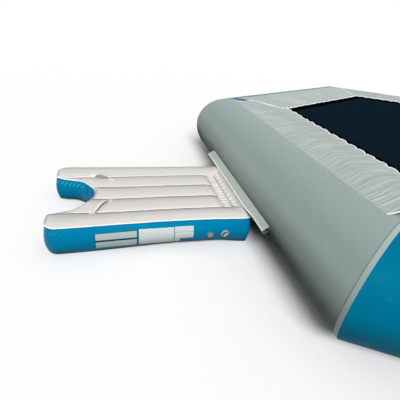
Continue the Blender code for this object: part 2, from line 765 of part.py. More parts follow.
def outline_normals(outline):
    """Outward directions in plan at the outline's points."""
    count = len(outline)
    normals = []
    for i in range(count):
        run = outline[(i + 1) % count] - outline[i - 1]
        normals.append(Vector((-run.y, run.x)).normalized())
    return normals


def wall_bulge(height):
    """How far the side wall stands out at a height, between its two seams."""
    low, high = wall_span()
    share = (height - low) / (high - low)
    return SIDE_BULGE * math.sin(math.pi * share)


def wall_span():
    """Lowest and highest edge of the side wall."""
    return BOTTOM_ROLL + PLATFORM_SKIN + GAP, PLATFORM_HEIGHT - PLATFORM_SKIN - 3 * GAP


def wall_rows():
    """Heights of the side wall's rows."""
    low, high = wall_span()
    return [low + (high - low) * share for share in WALL_SHARES]


def near_wall(height):
    """Place across of the near wall's outer face, on the straight lines between its rows."""
    rows = wall_rows()
    for low, high in zip(rows, rows[1:]):
        if height <= high:
            share = (height - low) / (high - low)
            return -platform_half - wall_bulge(low) - share * (wall_bulge(high) - wall_bulge(low))
    return -platform_half


def build_platform_skins(mats, root, heel, tip, pivot):
    """Top sheet, side wall, bottom sheet and the webs that hold them together."""
    grid = platform_grid(heel, tip, DECK_ROW_SHARES)
    top = [[Vector((x, y, top_height(x, y, a, b))) for x, y, a, b in row] for row in grid]
    under = [[point - Vector((0, 0, PLATFORM_SKIN)) for point in row] for row in top]
    bm = bmesh.new()
    shell(bm, top, under)
    finish_object("platform_top", bm, mats["white_pvc"], root, pivot=pivot)
    low = []
    for row in platform_grid(heel, tip, BOTTOM_ROW_SHARES):
        line = []
        for x, y, start, end in row:
            edge = min(x - start, end - x, platform_half - abs(y))
            reach = min(1.0, max(0.0, edge) / BOTTOM_ROLL)
            line.append(Vector((x, y, BOTTOM_ROLL * (1 - reach))))
        low.append(line)
    high = [[point + Vector((0, 0, PLATFORM_SKIN)) for point in row] for row in low]
    bm = bmesh.new()
    shell(bm, high, low)
    finish_object("platform_bottom", bm, mats["white_pvc"], root, pivot=pivot)
    bm = bmesh.new()
    outline = seam_outline(heel, tip)
    normals = outline_normals(outline)
    rows = [(h, 0.0) for h in wall_rows()] + [(h, PLATFORM_SKIN) for h in reversed(wall_rows())]
    rings = []
    for point, normal in zip(outline, normals):
        ring = []
        for height, inset in rows:
            place = point + normal * (wall_bulge(height) - inset)
            ring.append(Vector((place.x, place.y, height)))
        rings.append(ring)
    loft(bm, rings, closed=True)
    wall = finish_object("platform_side_wall", bm, mats["teal_pvc"], root, pivot=pivot)
    base = PLATFORM_SKIN + GAP
    head = PLATFORM_HEIGHT - RECESS_STEP - PLATFORM_SKIN - GAP
    half = PLATFORM_SKIN / 2
    for seam in range(1, CHAMBERS):
        y = -platform_half + CHAMBER_WIDTH * seam
        start, end = platform_ends(y, heel, tip)
        bm = bmesh.new()
        box(bm, (start + WEB_MARGIN, y - half, base), (end - WEB_MARGIN, y + half, head))
        finish_object(f"platform_web_{seam}", bm, mats["white_pvc"], root, pivot=pivot)
    return wall


def build_platform_fittings(mats, root, heel, tip, pivot, wall):
    """Filling valve with its cap, and the relief valve, on the near wall."""
    middle = sum(wall_span()) / 2
    out = Vector((0, -1, 0))
    places = {}
    for name, back, radius in (("valve", PLATFORM_VALVE_FROM_HEEL, PLATFORM_VALVE_RADIUS),
                               ("relief", PLATFORM_RELIEF_FROM_HEEL, PLATFORM_RELIEF_RADIUS)):
        origin = Vector((heel - back, near_wall(middle), middle))
        places[name] = origin
        hole = radius * STEM_SHARE + RELIEF_LOBE_DEPTH + GAP
        drill(wall, f"platform_{name}_hole", origin, out, hole, VALVE_FLANGE, root)
    bm = bmesh.new()
    turned(bm, valve_profile(PLATFORM_VALVE_RADIUS), places["valve"], out)
    finish_object("platform_valve_body", bm, mats["valve_plastic"], root, pivot=pivot)
    run = Vector((1, 0, 0))
    build_cap("platform_valve_cap", mats, root, PLATFORM_VALVE_RADIUS, places["valve"], out, run)
    build_relief("platform_relief_valve", mats, root, PLATFORM_RELIEF_RADIUS, places["relief"],
                 out, pivot)


def build_handles(mats, root, heel, tip):
    """Webbing handles that stand across the seams beside the outer chambers."""
    for name, hand in (("handle_near", -1), ("handle_far", 1)):
        centre = Vector((tip + HANDLE_FROM_TIP, hand * HANDLE_FROM_CENTRE))
        run = Vector((math.cos(HANDLE_SLANT), -hand * math.sin(HANDLE_SLANT)))
        feet = []
        for end in (-1, 1):
            foot = centre + run * (end * HANDLE_SPAN / 2)
            start, stop = platform_ends(foot.y, heel, tip)
            lift = top_height(foot.x, foot.y, start, stop) + HANDLE_LIFT
            feet.append(Vector((foot.x, foot.y, lift)))
        side = Vector((-run.y, run.x, 0))
        rings = []
        for i in range(HANDLE_STATIONS + 1):
            share = i / HANDLE_STATIONS
            rise = math.sin(math.pi * share)
            flare = min(1.0, rise / HANDLE_TAPER_SHARE)
            width = HANDLE_END_WIDTH + (HANDLE_WIDTH - HANDLE_END_WIDTH) * flare
            middle = feet[0].lerp(feet[1], share) + Vector((0, 0, HANDLE_RISE * rise))
            ring = []
            for across, lift in ((-1, -1), (1, -1), (1, 1), (-1, 1)):
                offset = side * (across * width / 2) + Vector((0, 0, lift * HANDLE_THICKNESS / 2))
                ring.append(middle + offset)
            rings.append(ring)
        bm = bmesh.new()
        loft(bm, rings)
        finish_object(name, bm, mats["webbing"], root, pivot=feet[0].lerp(feet[1], 0.5))


def build_hinge_panel(mats, root, heel, pivot, lower_strip):
    """Flexible panel from the recess in the platform's top, over the pivot, onto the lower lip."""
    top, end = lower_strip[0], lower_strip[5]
    lip = (end - top).normalized()
    tongue = end - lip * PANEL_TONGUE
    lift = Vector((-lip.y, lip.x)) * GAP
    rest = PLATFORM_HEIGHT - RECESS_STEP + GAP
    out = -heel
    line = [(out + RECESS_LENGTH - 2 * RECESS_STEP, rest), (out + 5 * RECESS_STEP, rest)]
    line += [(out, PLATFORM_HEIGHT + 3 * GAP), (-pivot.x + PIVOT_CLEARANCE, pivot.z + GAP)]
    line += [tuple(end + lift), tuple(tongue + lift)]
    half = platform_half - CHAMBER_WIDTH - RECESS_STEP
    places = [half * (2 * j / PANEL_COLUMNS - 1) for j in range(PANEL_COLUMNS + 1)]
    low, high = [], []
    for u, z in line:
        low.append([Vector((-u, y, z)) for y in places])
        high.append([point + Vector((0, 0, PANEL_THICKNESS)) for point in low[-1]])
    bm = bmesh.new()
    shell(bm, high, low)
    finish_object("hinge_panel", bm, mats["white_pvc"], root, pivot=pivot)


def main():
    """Build the whole part under one empty, its box centred over the origin."""
    for obj in list(bpy.data.objects):
        bpy.data.objects.remove(obj, do_unlink=True)
    mats = make_materials()
    lower_strip = strip_profile(STRIP_TOP_INSET + STRIP_BASE + STRIP_SPACING, LOWER_LIP, LOWER_LIP_DROP)
    lip_end = lower_strip[5]
    pivot = Vector((-lip_end.x - PIVOT_CLEARANCE, 0, lip_end.y))
    heel = pivot.x - PLATFORM_STANDOFF
    tip = heel - PLATFORM_LENGTH
    outline = seam_outline(heel, tip)
    normals = outline_normals(outline)
    bulge = max(wall_bulge(h) for h in wall_rows())
    low_x = min((p + n * bulge).x for p, n in zip(outline, normals))
    high_x = 2 * apothem + tube_radius
    root = bpy.data.objects.new("water_trampoline", None)
    bpy.context.scene.collection.objects.link(root)
    root.location = (-(low_x + high_x) / 2, 0, 0)
    tubes = build_ring(mats, root)
    build_frame(mats, root)
    build_cords(mats, root)
    build_bed(mats, root)
    build_covers(mats, root)
    build_ring_valves(mats, root, tubes)
    build_anchors(mats, root)
    build_strips(mats, root)
    wall = build_platform_skins(mats, root, heel, tip, pivot)
    build_platform_fittings(mats, root, heel, tip, pivot, wall)
    build_handles(mats, root, heel, tip)
    build_hinge_panel(mats, root, heel, pivot, lower_strip)
    bpy.context.view_layer.update()


main()
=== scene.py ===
"""Water trampoline with its boarding platform, dressed for a still picture.

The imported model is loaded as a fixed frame, in metres, and each operator makes one piece
or one group of like pieces round it.
"""
import math

import bpy
import numpy as np
from bpy.props import FloatProperty, FloatVectorProperty, IntProperty, PointerProperty
from mathutils import Matrix, Vector
from mathutils.kdtree import KDTree


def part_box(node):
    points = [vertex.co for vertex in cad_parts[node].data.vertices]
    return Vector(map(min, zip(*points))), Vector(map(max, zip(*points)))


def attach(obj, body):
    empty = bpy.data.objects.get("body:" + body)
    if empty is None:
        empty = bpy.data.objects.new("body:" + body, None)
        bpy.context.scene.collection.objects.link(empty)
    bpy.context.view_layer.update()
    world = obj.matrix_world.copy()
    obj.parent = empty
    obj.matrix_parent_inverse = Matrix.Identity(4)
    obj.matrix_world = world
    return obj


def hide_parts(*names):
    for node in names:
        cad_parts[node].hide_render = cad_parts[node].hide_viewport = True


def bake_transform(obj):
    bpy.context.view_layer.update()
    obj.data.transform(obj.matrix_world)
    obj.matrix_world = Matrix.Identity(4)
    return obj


bl_info = {
    "name": "Water Trampoline",
    "version": (1, 0, 0),
    "blender": (4, 5, 0),
    "location": "View3D > Sidebar > Trampoline",
    "description": "Air ring, sprung bed, gathered edge covers and boarding platform",
    "category": "Object",
}

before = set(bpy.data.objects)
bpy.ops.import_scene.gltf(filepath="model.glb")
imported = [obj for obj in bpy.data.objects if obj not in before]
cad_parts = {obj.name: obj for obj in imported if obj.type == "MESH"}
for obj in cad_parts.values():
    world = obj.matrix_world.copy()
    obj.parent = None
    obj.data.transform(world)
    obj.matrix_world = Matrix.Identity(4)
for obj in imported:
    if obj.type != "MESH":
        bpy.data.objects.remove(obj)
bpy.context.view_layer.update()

# Ring, bed and covers. Sizes that the frame holds are read from it.
SIDES = 6
HALF_TURN = math.pi / SIDES
tube_low, tube_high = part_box("tube_segment_1")
mat_low, mat_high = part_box("jump_mat")
rail_low, rail_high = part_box("frame_rail_1")
TUBE_RADIUS = tube_high[2] / 2
RING_X = (mat_low[0] + mat_high[0]) / 2
APOTHEM = RING_X - tube_low[0] - TUBE_RADIUS
HALF_SIDE = APOTHEM * math.tan(HALF_TURN)
RAIL_HEIGHT = (rail_low[2] + rail_high[2]) / 2
RAIL_RADIUS = 0.025
RAIL_IN = 0.2195
CORD_RADIUS = 0.0035
V_RING_START = 0.4411
V_RING_LENGTH = 0.0594
V_RING_WIDTH = 0.060
V_RING_WIRE = 0.005
RING_PITCH = 0.42
RINGS = 5
MAT_EDGE = 0.5008
MAT_TOP = mat_high[2]
SKIN = 0.0012
MITRE_GAP = 0.0002
MAT_FALL = 0.106
COVER_EDGE = 0.6208
COVER_HALF = 1.35

# Platform, which lies along X, with the pivot of its hinge and its side seams.
HEEL = -2.16028
TIP = -3.78028
HALF_WIDTH = 0.535
CHAMBER = 0.214
OUTER_WEB = 1.5 * CHAMBER
HEIGHT = 0.24
TIP_RADIUS = 0.090
SEAM_STEP = 0.004
HEEL_RADIUS = 0.032
NOTCH = 0.345
NOTCH_SHOULDER = 0.285
RECESS = 0.177
RECESS_STEP = 0.006
PANEL_HALF = 0.3185
STRIP_HALF = 0.79
PIVOT = (-2.15028, 0.0, 0.26923)
TUBE_SLOTS = ("grey_pvc", "teal_pvc")
SIDE_PLACES = (-3.80, -3.53, -3.37, -3.20, -2.99, -2.80, -2.60, -2.45, -2.33, -2.22, -2.16)
SIDE_RISES = (0.0090, 0.0100, 0.0110, 0.0125, 0.0145, 0.0155, 0.0155, 0.0140, 0.0115, 0.0125,
              0.0180)
SIDE_PULLS = (0.0040, 0.0110, 0.0170, 0.0220, 0.0265, 0.0285, 0.0270, 0.0240, 0.0210, 0.0130,
              0.0080)
NOTCH_SHAPE = ((-0.05, 0.339), (0.0, 0.345), (0.05, 0.339), (0.09, 0.326), (0.13, 0.305),
               (0.18, 0.269), (0.22, 0.237), (0.2525, 0.200), (0.274, 0.162), (0.288, 0.122),
               (0.298, 0.090), (0.309, 0.060), (0.321, 0.030), (0.334, 0.007), (0.345, 0.0))


def rgb(red, green, blue):
    """Linear colour from the 0 to 255 values of a screen."""
    shares = [value / 255 for value in (red, green, blue)]
    return tuple(s / 12.92 if s <= 0.04045 else ((s + 0.055) / 1.055) ** 2.4 for s in shares)


def around(count):
    """Even angles round a full turn."""
    return np.linspace(0, 2 * math.pi, count, endpoint=False)


def colour_setting(name, description, *colour):
    """Colour setting, from the 0 to 255 values of a screen."""
    return FloatVectorProperty(name=name, description=description, subtype="COLOR",
                               default=rgb(*colour))


def length_setting(name, description, default):
    """Length setting, in metres."""
    return FloatProperty(name=name, description=description, default=default,
                         subtype="DISTANCE", unit="LENGTH")


class RingSettings(bpy.types.PropertyGroup):
    """Sizes and colours of the air ring."""
    grey: colour_setting("Grey", "Colour of the odd tube lengths", 150, 166, 162)
    teal: colour_setting("Teal", "Colour of the even tube lengths", 0, 110, 142)
    facets: IntProperty(name="Facets", description="Facets round each tube", default=120)
    tape_width: length_setting("Seam Tape", "Width of the tape at each mitre", 0.038)
    tape_thickness: length_setting("Tape Thickness", "Thickness of the seam tapes", 0.0009)
    pinch: length_setting("Seam Pinch", "How far the skin draws in at a mitre", 0.0012)


class BedSettings(bpy.types.PropertyGroup):
    """Sizes and colours of the jump mat and its steel frame."""
    mat: colour_setting("Mat", "Colour of the woven mat", 16, 30, 41)
    webbing: colour_setting("Webbing", "Colour of the mat's edge webbing", 30, 33, 38)
    cord: colour_setting("Cord", "Colour of the elastic cords", 26, 30, 38)
    sag: length_setting("Sag", "How far the middle of the mat hangs", 0.008)
    steps: IntProperty(name="Steps", description="Steps from the mat's middle to its edge",
                       default=48)


class CoverSettings(bpy.types.PropertyGroup):
    """Sizes and colours of the gathered covers over the cords."""
    cloth: colour_setting("Cloth", "Colour of the cover cloth", 172, 181, 178)
    hem: colour_setting("Hem", "Colour of the bound hem", 246, 248, 246)
    columns: IntProperty(name="Columns", description="Cloth cells along each cover", default=760)
    rows: IntProperty(name="Rows", description="Cloth cells across each cover", default=64)
    broad: length_setting("Broad Folds", "Height of the broad folds", 0.011)
    gather: length_setting("Gathers", "Height of the long sharp creases", 0.0098)
    ruffle: length_setting("Ruffles", "Height of the ruffles along the hem", 0.012)
    hem_radius: length_setting("Hem Radius", "Half the thickness of the hem", 0.0066)
    welt: length_setting("Welt", "Width of the flat welt on the tube", 0.022)


class PlatformSettings(bpy.types.PropertyGroup):
    """Sizes and colours of the boarding platform."""
    deck: colour_setting("Deck", "Colour of the top sheet", 205, 202, 198)
    wall: colour_setting("Wall", "Colour of the side wall", 0, 122, 163)
    crown: length_setting("Crown", "How far each chamber rises between its webs", 0.033)
    crown_end: length_setting("Crown End", "Length over which a chamber closes", 0.060)
    bulge: length_setting("Bulge", "How far the side wall stands out", 0.030)
    pucker: length_setting("Pucker", "Height of the wrinkles beside the seams", 0.0022)
    welt: length_setting("Welt", "Radius of the bead between deck and wall", 0.0058)
    label: colour_setting("Label", "Colour of the blank label panels", 196, 204, 200)


class StageSettings(bpy.types.PropertyGroup):
    """Floor, light and camera."""
    floor: FloatVectorProperty(name="Floor", description="Floor colour that the camera sees",
                               subtype="COLOR", default=(0.99, 0.99, 0.99))
    sun: FloatProperty(name="Sun", description="Strength of the broad sun", default=2.95)
    sky: FloatProperty(name="Sky", description="Strength of the plain sky light", default=0.37)
    lens: FloatProperty(name="Lens", description="Focal length on a 36 mm sensor",
                        default=28.224, unit="CAMERA")


class Skin:
    """Collects grids of points into one mesh, with each point's place in metres along it."""

    def __init__(self):
        self.points, self.lays, self.faces, self.count = [], [], [], 0

    def grid(self, points, round_rows=False, round_columns=False, lay=None):
        """Add a grid of points as quads; either direction may run round."""
        points = np.asarray(points, dtype=float)
        rows, columns = points.shape[:2]
        index = np.arange(rows * columns).reshape(rows, columns) + self.count
        if round_rows:
            index = np.vstack([index, index[:1]])
        if round_columns:
            index = np.hstack([index, index[:, :1]])
        quads = np.stack([index[:-1, :-1], index[:-1, 1:], index[1:, 1:], index[1:, :-1]], -1)
        if lay is None:
            lay = np.zeros(points.shape)
            down = np.linalg.norm(np.diff(points, axis=0), axis=2).mean(axis=1)
            over = np.linalg.norm(np.diff(points, axis=1), axis=2).mean(axis=0)
            lay[..., 0] = np.concatenate([[0], np.cumsum(over)])[None, :]
            lay[..., 1] = np.concatenate([[0], np.cumsum(down)])[:, None]
        self.points.append(points.reshape(-1, 3))
        self.lays.append(np.asarray(lay, dtype=float).reshape(-1, 3))
        self.faces.extend(quads.reshape(-1, 4).tolist())
        self.count += rows * columns
        return index[:rows, :columns]

    def cap(self, ring, flip=False):
        """Close a ring of point numbers with a fan to its middle."""
        ring = list(ring)
        for store in (self.points, self.lays):
            store.append(np.concatenate(store)[ring].mean(axis=0)[None, :])
        centre = self.count
        self.count += 1
        for a, b in zip(ring, ring[1:] + ring[:1]):
            self.faces.append([b, a, centre] if flip else [a, b, centre])

    def tube(self, points, lay=None):
        """Add a grid that runs round, and close its two ends."""
        index = self.grid(points, round_columns=True, lay=lay)
        self.cap(index[0])
        self.cap(index[-1], flip=True)

    def lid(self, points):
        """Add a grid that runs round, and close its first end."""
        self.cap(self.grid(points, round_columns=True)[0])

    def hoop(self, points, lay=None):
        """Add a grid that runs round both ways."""
        self.grid(points, round_rows=True, round_columns=True, lay=lay)

    def turned(self, profile, origin, axis, lobes=0, depth=0.0, steps=96):
        """Turn a profile of (radius, height) pairs about an axis and close its ends."""
        axis = np.array(Vector(axis).normalized())
        side = np.array(Vector((0, 0, 1)).cross(Vector(axis)).normalized())
        other = np.cross(axis, side)
        angles = around(steps)
        rows = []
        for radius, height, *lobe in profile:
            reach = radius + depth * (lobe[0] if lobe else 0.0) * np.cos(lobes * angles)
            offset = np.cos(angles)[:, None] * side + np.sin(angles)[:, None] * other
            rows.append(np.array(origin) + offset * reach[:, None] + axis * height)
        self.tube(rows)

    def build(self, name, material, sharp=math.radians(50)):
        """Turn what was collected into an object."""
        mesh = bpy.data.meshes.new(name)
        mesh.from_pydata(np.concatenate(self.points).tolist(), [], self.faces)
        lay = mesh.attributes.new("lay", "FLOAT_VECTOR", "POINT")
        lay.data.foreach_set("vector", np.concatenate(self.lays).ravel())
        mesh.shade_smooth()
        mesh.set_sharp_from_angle(angle=sharp)
        mesh.materials.append(finish(material))
        piece = bpy.data.objects.new(name, mesh)
        bpy.context.scene.collection.objects.link(piece)
        return piece

    def rest(self, name, material, body, slot_name, *nodes, **options):
        """Build a piece that rides on a body, with the named finish, and hide the CAD nodes it
        stands for; the slot's name is not used.
        """
        piece = self.build(name, material, **options)
        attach(piece, body)
        if nodes:
            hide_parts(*nodes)
        return piece

    def bend(self, name, material, bridge, slot_name, *nodes, **options):
        """Build a piece that lies across a joint, set in world place; the bridge of its two bodies
        is not used.
        """
        piece = self.build(name, material, **options)
        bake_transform(piece)
        if nodes:
            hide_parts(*nodes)
        return piece


def arc(radius, start, stop, count):
    """Points on an arc between two angles in degrees."""
    angles = np.radians(np.linspace(start, stop, count))
    return radius * np.stack([np.cos(angles), np.sin(angles)], -1)


def at_side(side, out, along, height):
    """World points from places in a side's own frame: outward, along and up."""
    angle = math.pi + 2 * HALF_TURN * side
    reach = APOTHEM + np.asarray(out, dtype=float)
    x = RING_X + reach * math.cos(angle) - np.asarray(along) * math.sin(angle)
    y = reach * math.sin(angle) + np.asarray(along) * math.cos(angle)
    return np.stack(np.broadcast_arrays(x, y, height), axis=-1)


def side_axis(side):
    """Unit direction along a side."""
    return at_side(side, 0, 1, 0) - at_side(side, 0, 0, 0)


def half_length(out):
    """Half length of a side, from mitre to mitre, at a distance outward."""
    return HALF_SIDE + np.asarray(out) * math.tan(HALF_TURN)


def smooth(value):
    """Ease a share from 0 to 1, flat at both ends."""
    value = np.clip(value, 0.0, 1.0)
    return value * value * (3 - 2 * value)


def bell(value, width):
    """Bell curve of height 1."""
    return np.exp(-(value / width) ** 2)


def creases(u, v, seed):
    """Smooth uneven surface between -1 and 1, one bump to a unit, the same on each run."""
    table = np.random.default_rng(seed).uniform(-1, 1, (64, 64))
    i, j = np.floor(u).astype(int), np.floor(v).astype(int)
    s, t = smooth(u - i), smooth(v - j)
    near = table[i % 64, j % 64] * (1 - s) + table[(i + 1) % 64, j % 64] * s
    far = table[i % 64, (j + 1) % 64] * (1 - s) + table[(i + 1) % 64, (j + 1) % 64] * s
    return near * (1 - t) + far * t


def circle(radius, count, flat=1.0):
    """Round outline of (sideways, upward) offsets."""
    angles = around(count)
    return np.stack([radius * np.cos(angles), radius * flat * np.sin(angles)], -1)


def sweep(path, outline, up=(0, 0, 1), closed=False, widths=None):
    """Grid of points: an outline of (sideways, upward) offsets carried along a path."""
    path = np.asarray(path, dtype=float)
    if closed:
        run = np.roll(path, -1, 0) - np.roll(path, 1, 0)
    else:
        run = np.gradient(path, axis=0)
    run /= np.linalg.norm(run, axis=1)[:, None]
    side = np.cross(run, np.broadcast_to(np.asarray(up, dtype=float), path.shape))
    side /= np.linalg.norm(side, axis=1)[:, None]
    lift = np.cross(side, run)
    outline = np.broadcast_to(outline, (len(path),) + np.shape(outline)[-2:])
    across = outline[..., 0:1] * (1.0 if widths is None else np.asarray(widths)[:, None, None])
    return path[:, None] + across * side[:, None] + outline[..., 1:2] * lift[:, None]


def through(points, steps):
    """Even curve through points, with a number of steps between each pair."""
    points = np.asarray(points, dtype=float)
    ends = np.vstack([2 * points[0] - points[1], points, 2 * points[-1] - points[-2]])
    out = []
    for a, b, c, d in zip(ends, ends[1:], ends[2:], ends[3:]):
        for t in np.linspace(0, 1, steps, endpoint=False):
            out.append(0.5 * (2 * b + (c - a) * t + (2 * a - 5 * b + 4 * c - d) * t * t
                              + (3 * b - a - 3 * c + d) * t ** 3))
    out.append(points[-1])
    return np.array(out)


def feed(tree, kind, inputs=None, **options):
    """Add a node, set its options, and feed its inputs by name with values or sockets."""
    step = tree.nodes.new(kind)
    for key, value in options.items():
        setattr(step, key, value)
    for key, value in (inputs or {}).items():
        socket = step.inputs[key]
        if isinstance(value, bpy.types.NodeSocket):
            tree.links.new(value, socket)
        elif value is not None:
            socket.default_value = value
    return step


def maths(tree, operation, a, b=None):
    """Add a Math node and return its result."""
    return feed(tree, "ShaderNodeMath", {0: a, 1: b}, operation=operation).outputs[0]


def total(tree, a, b):
    """Add two numbers."""
    return maths(tree, "ADD", a, b)


def product(tree, a, b):
    """Multiply two numbers."""
    return maths(tree, "MULTIPLY", a, b)


def swing(tree, value, depth):
    """A share from 0 to 1 made to swing about zero, times a depth."""
    return product(tree, maths(tree, "SUBTRACT", value, 0.5), depth)


def shaded(tree, colour, shade):
    """Multiply a colour by a number."""
    return feed(tree, "ShaderNodeVectorMath", {0: colour, "Scale": shade},
                operation="SCALE").outputs[0]


def object_place(tree):
    """Each point's place on its object, in metres."""
    return feed(tree, "ShaderNodeTexCoord").outputs["Object"]


def blend_colours(tree, factor, a, b, kind="MIX"):
    """Add a colour Mix node and return its result."""
    inputs = {0: factor, 6: a, 7: b}
    return feed(tree, "ShaderNodeMix", inputs, data_type="RGBA", blend_type=kind).outputs[2]


def spread(tree, value, low, high, to_low=0.0, to_high=1.0):
    """Add a Map Range node that eases between two limits and return its result."""
    inputs = {0: value, 1: low, 2: high, 3: to_low, 4: to_high}
    return feed(tree, "ShaderNodeMapRange", inputs, interpolation_type="SMOOTHSTEP").outputs[0]


def grain(tree, vector, scale, detail=4.0, roughness=0.55):
    """Add a Noise node and return its value."""
    inputs = {"Vector": vector, "Scale": scale, "Detail": detail, "Roughness": roughness}
    return feed(tree, "ShaderNodeTexNoise", inputs).outputs[0]


def new_group(name, *inputs):
    """Start a node group. An input's value is None for a colour, () for a vector or a number."""
    group = bpy.data.node_groups.new(name, "ShaderNodeTree")
    for label, value in inputs:
        socket = group.interface.new_socket(label, in_out="INPUT", socket_type=KINDS[type(value)])
        if value:
            socket.default_value = value
    for label, value in (("Colour", None), ("Roughness", 0.0), ("Height", 0.0)):
        group.interface.new_socket(label, in_out="OUTPUT", socket_type=KINDS[type(value)])
    start, end = group.nodes.new("NodeGroupInput"), group.nodes.new("NodeGroupOutput")
    return group, start.outputs, end.inputs


def close_group(group, end, *results):
    """Join colour, roughness and height to a group's outputs."""
    for socket, result in zip(end, results):
        group.links.new(result, socket)


KINDS = {type(None): "NodeSocketColor", tuple: "NodeSocketVector", float: "NodeSocketFloat"}


def coated_skin_group():
    """Shade drift, fine embossed grain, light scuffs and a masked second colour, mostly painted
    shade, of coated boat fabric.
    """
    group, start, end = new_group(
        "Coated Skin", ("Colour", None), ("Shade And Soil Mask", 0.0), ("Gloss", 0.4),
        ("Shade And Soil Colour", None), ("Drift", 0.05), ("Grain Depth", 0.00006))
    place = object_place(group)
    clouds = grain(group, place, 2.2, 3.0)
    speck = grain(group, place, 38.0, 5.0, 0.7)
    shade = total(group, swing(group, clouds, start["Drift"]), swing(group, speck, 0.05))
    clean = shaded(group, start["Colour"], total(group, shade, 1.0))
    scrape = spread(group, grain(group, place, 9.0, 6.0, 0.75), 0.62, 0.78)
    scuffed = blend_colours(group, product(group, scrape, 0.10), clean, (0.72, 0.73, 0.72, 1.0))
    # The mask blends towards the second colour, which on most pieces is painted shade.
    shade_and_grime = product(group, start["Shade And Soil Mask"], spread(group, clouds, 0.2, 0.9, 0.5, 1.0))
    rough = total(group, start["Gloss"], swing(group, speck, 0.16))
    cells = feed(group, "ShaderNodeTexVoronoi", {"Vector": place, "Scale": 620.0},
                 feature="F1").outputs["Distance"]
    bumps = product(group, maths(group, "SUBTRACT", 1.0, cells), start["Grain Depth"])
    close_group(group, end, blend_colours(group, shade_and_grime, scuffed, start["Shade And Soil Colour"]),
                total(group, rough, product(group, shade_and_grime, 0.35)),
                total(group, bumps, product(group, clouds, 0.0006)))


def weave_group():
    """Over-and-under threads laid along a piece, with broken lighter fibres."""
    group, start, end = new_group("Weave", ("Lay", ()), ("Colour", None), ("Pitch", 0.002),
                                  ("Slub", 0.25), ("Depth", 0.0003))
    lay = feed(group, "ShaderNodeSeparateXYZ", {0: start["Lay"]}).outputs
    turn = maths(group, "DIVIDE", 2 * math.pi, start["Pitch"])
    warp, weft = [maths(group, "SINE", product(group, lay[k], turn)) for k in (0, 1)]
    cross = product(group, warp, weft)
    knot = spread(group, cross, -1.0, 1.0)
    fibres = grain(group, start["Lay"], 90.0, 5.0, 0.7)
    patches = grain(group, start["Lay"], 3.0, 3.0)
    shade = total(group, 1.0, swing(group, knot, start["Slub"]))
    shade = product(group, shade, spread(group, fibres, 0.2, 0.8, 0.92, 1.08))
    shade = product(group, shade, spread(group, patches, 0.2, 0.8, 0.95, 1.05))
    rise = total(group, knot, product(group, maths(group, "ABSOLUTE", cross), 0.5))
    close_group(group, end, shaded(group, start["Colour"], shade),
                spread(group, fibres, 0.2, 0.8, 0.66, 0.9), product(group, rise, start["Depth"]))


def worn_metal_group():
    """Spangle, dulled patches and fine scratches of zinc or drawn wire."""
    group, start, end = new_group("Worn Metal", ("Colour", None), ("Gloss", 0.35),
                                  ("Spangle", 0.2))
    place = object_place(group)
    flakes = feed(group, "ShaderNodeTexVoronoi", {"Vector": place, "Scale": 160.0}).outputs["Color"]
    flake = feed(group, "ShaderNodeSeparateColor", {0: flakes}).outputs[0]
    stain = grain(group, place, 12.0, 6.0, 0.65)
    shade = total(group, swing(group, flake, start["Spangle"]), 0.85)
    shade = total(group, shade, product(group, stain, 0.3))
    close_group(group, end, shaded(group, start["Colour"], shade),
                total(group, start["Gloss"], product(group, stain, 0.25)),
                product(group, stain, 0.0001))


def blank_material(name):
    """New node material's tree, Principled shader and Bump node."""
    material = bpy.data.materials.new(name)
    material.use_nodes = True
    tree = material.node_tree
    shader = tree.nodes["Principled BSDF"]
    bump = feed(tree, "ShaderNodeBump", {"Strength": 1.0, "Distance": 1.0})
    tree.links.new(bump.outputs[0], shader.inputs["Normal"])
    return tree, shader, bump


def wear(parts, name, inputs, constants):
    """Join a shared group to a material's shader and bump, and set the shader's constants."""
    tree, shader, bump = parts
    effect = feed(tree, "ShaderNodeGroup", inputs, node_tree=bpy.data.node_groups[name]).outputs
    tree.links.new(effect["Colour"], shader.inputs["Base Color"])
    tree.links.new(effect["Roughness"], shader.inputs["Roughness"])
    tree.links.new(effect["Height"], bump.inputs["Height"])
    for key, value in constants.items():
        shader.inputs[key].default_value = value


def lay_mask(tree):
    """Mask in the third number of each point's place along its piece."""
    return feed(tree, "ShaderNodeSeparateXYZ", {0: lay_node(tree)}).outputs[2]


def coated(name, colour, gloss, drift=0.06, shine=0.16, tint=(1.0, 1.0, 1.0), depth=0.00006,
           shade_and_soil=(124, 124, 118), painted_highlight=None):
    """Coated fabric: a mask above 0 darkens it towards a second colour, mostly painted shade, and
    one below 0 lightens it with a painted highlight.
    """
    parts = tree, _, _ = blank_material(name)
    mask, base = lay_mask(tree), (*colour, 1.0)
    # A mask below 0 lightens the colour: a painted highlight.
    if painted_highlight:
        highlight_share = spread(tree, mask, 0.0, -1.0)
        base = blend_colours(tree, highlight_share, base, (*rgb(*painted_highlight), 1.0))
    wear(parts, "Coated Skin",
         {"Colour": base, "Shade And Soil Mask": maths(tree, "MAXIMUM", mask, 0.0), "Gloss": gloss,
          "Shade And Soil Colour": (*rgb(*shade_and_soil), 1.0), "Drift": drift, "Grain Depth": depth},
         {"Specular IOR Level": shine, "Specular Tint": (*tint, 1.0)})


def woven(name, colour, pitch, slub, depth, sheen=0.1, shine=0.12, edge=None):
    """Woven or braided textile whose threads follow the piece, with a masked edge colour."""
    parts = tree, _, _ = blank_material(name)
    base = (*colour, 1.0)
    if edge:
        base = blend_colours(tree, lay_mask(tree), base, (*rgb(*edge), 1.0))
    wear(parts, "Weave", {"Lay": lay_node(tree), "Colour": base, "Pitch": pitch, "Slub": slub,
                          "Depth": depth}, {"Sheen Weight": sheen, "Specular IOR Level": shine})


def metal(name, colour, gloss, spangle):
    """Galvanised or stainless steel."""
    wear(blank_material(name), "Worn Metal",
         {"Colour": (*colour, 1.0), "Gloss": gloss, "Spangle": spangle}, {"Metallic": 1.0})


def lay_node(tree):
    """Each point's place along its piece, in metres, with a mask in the third number."""
    return feed(tree, "ShaderNodeAttribute", attribute_name="lay").outputs["Vector"]


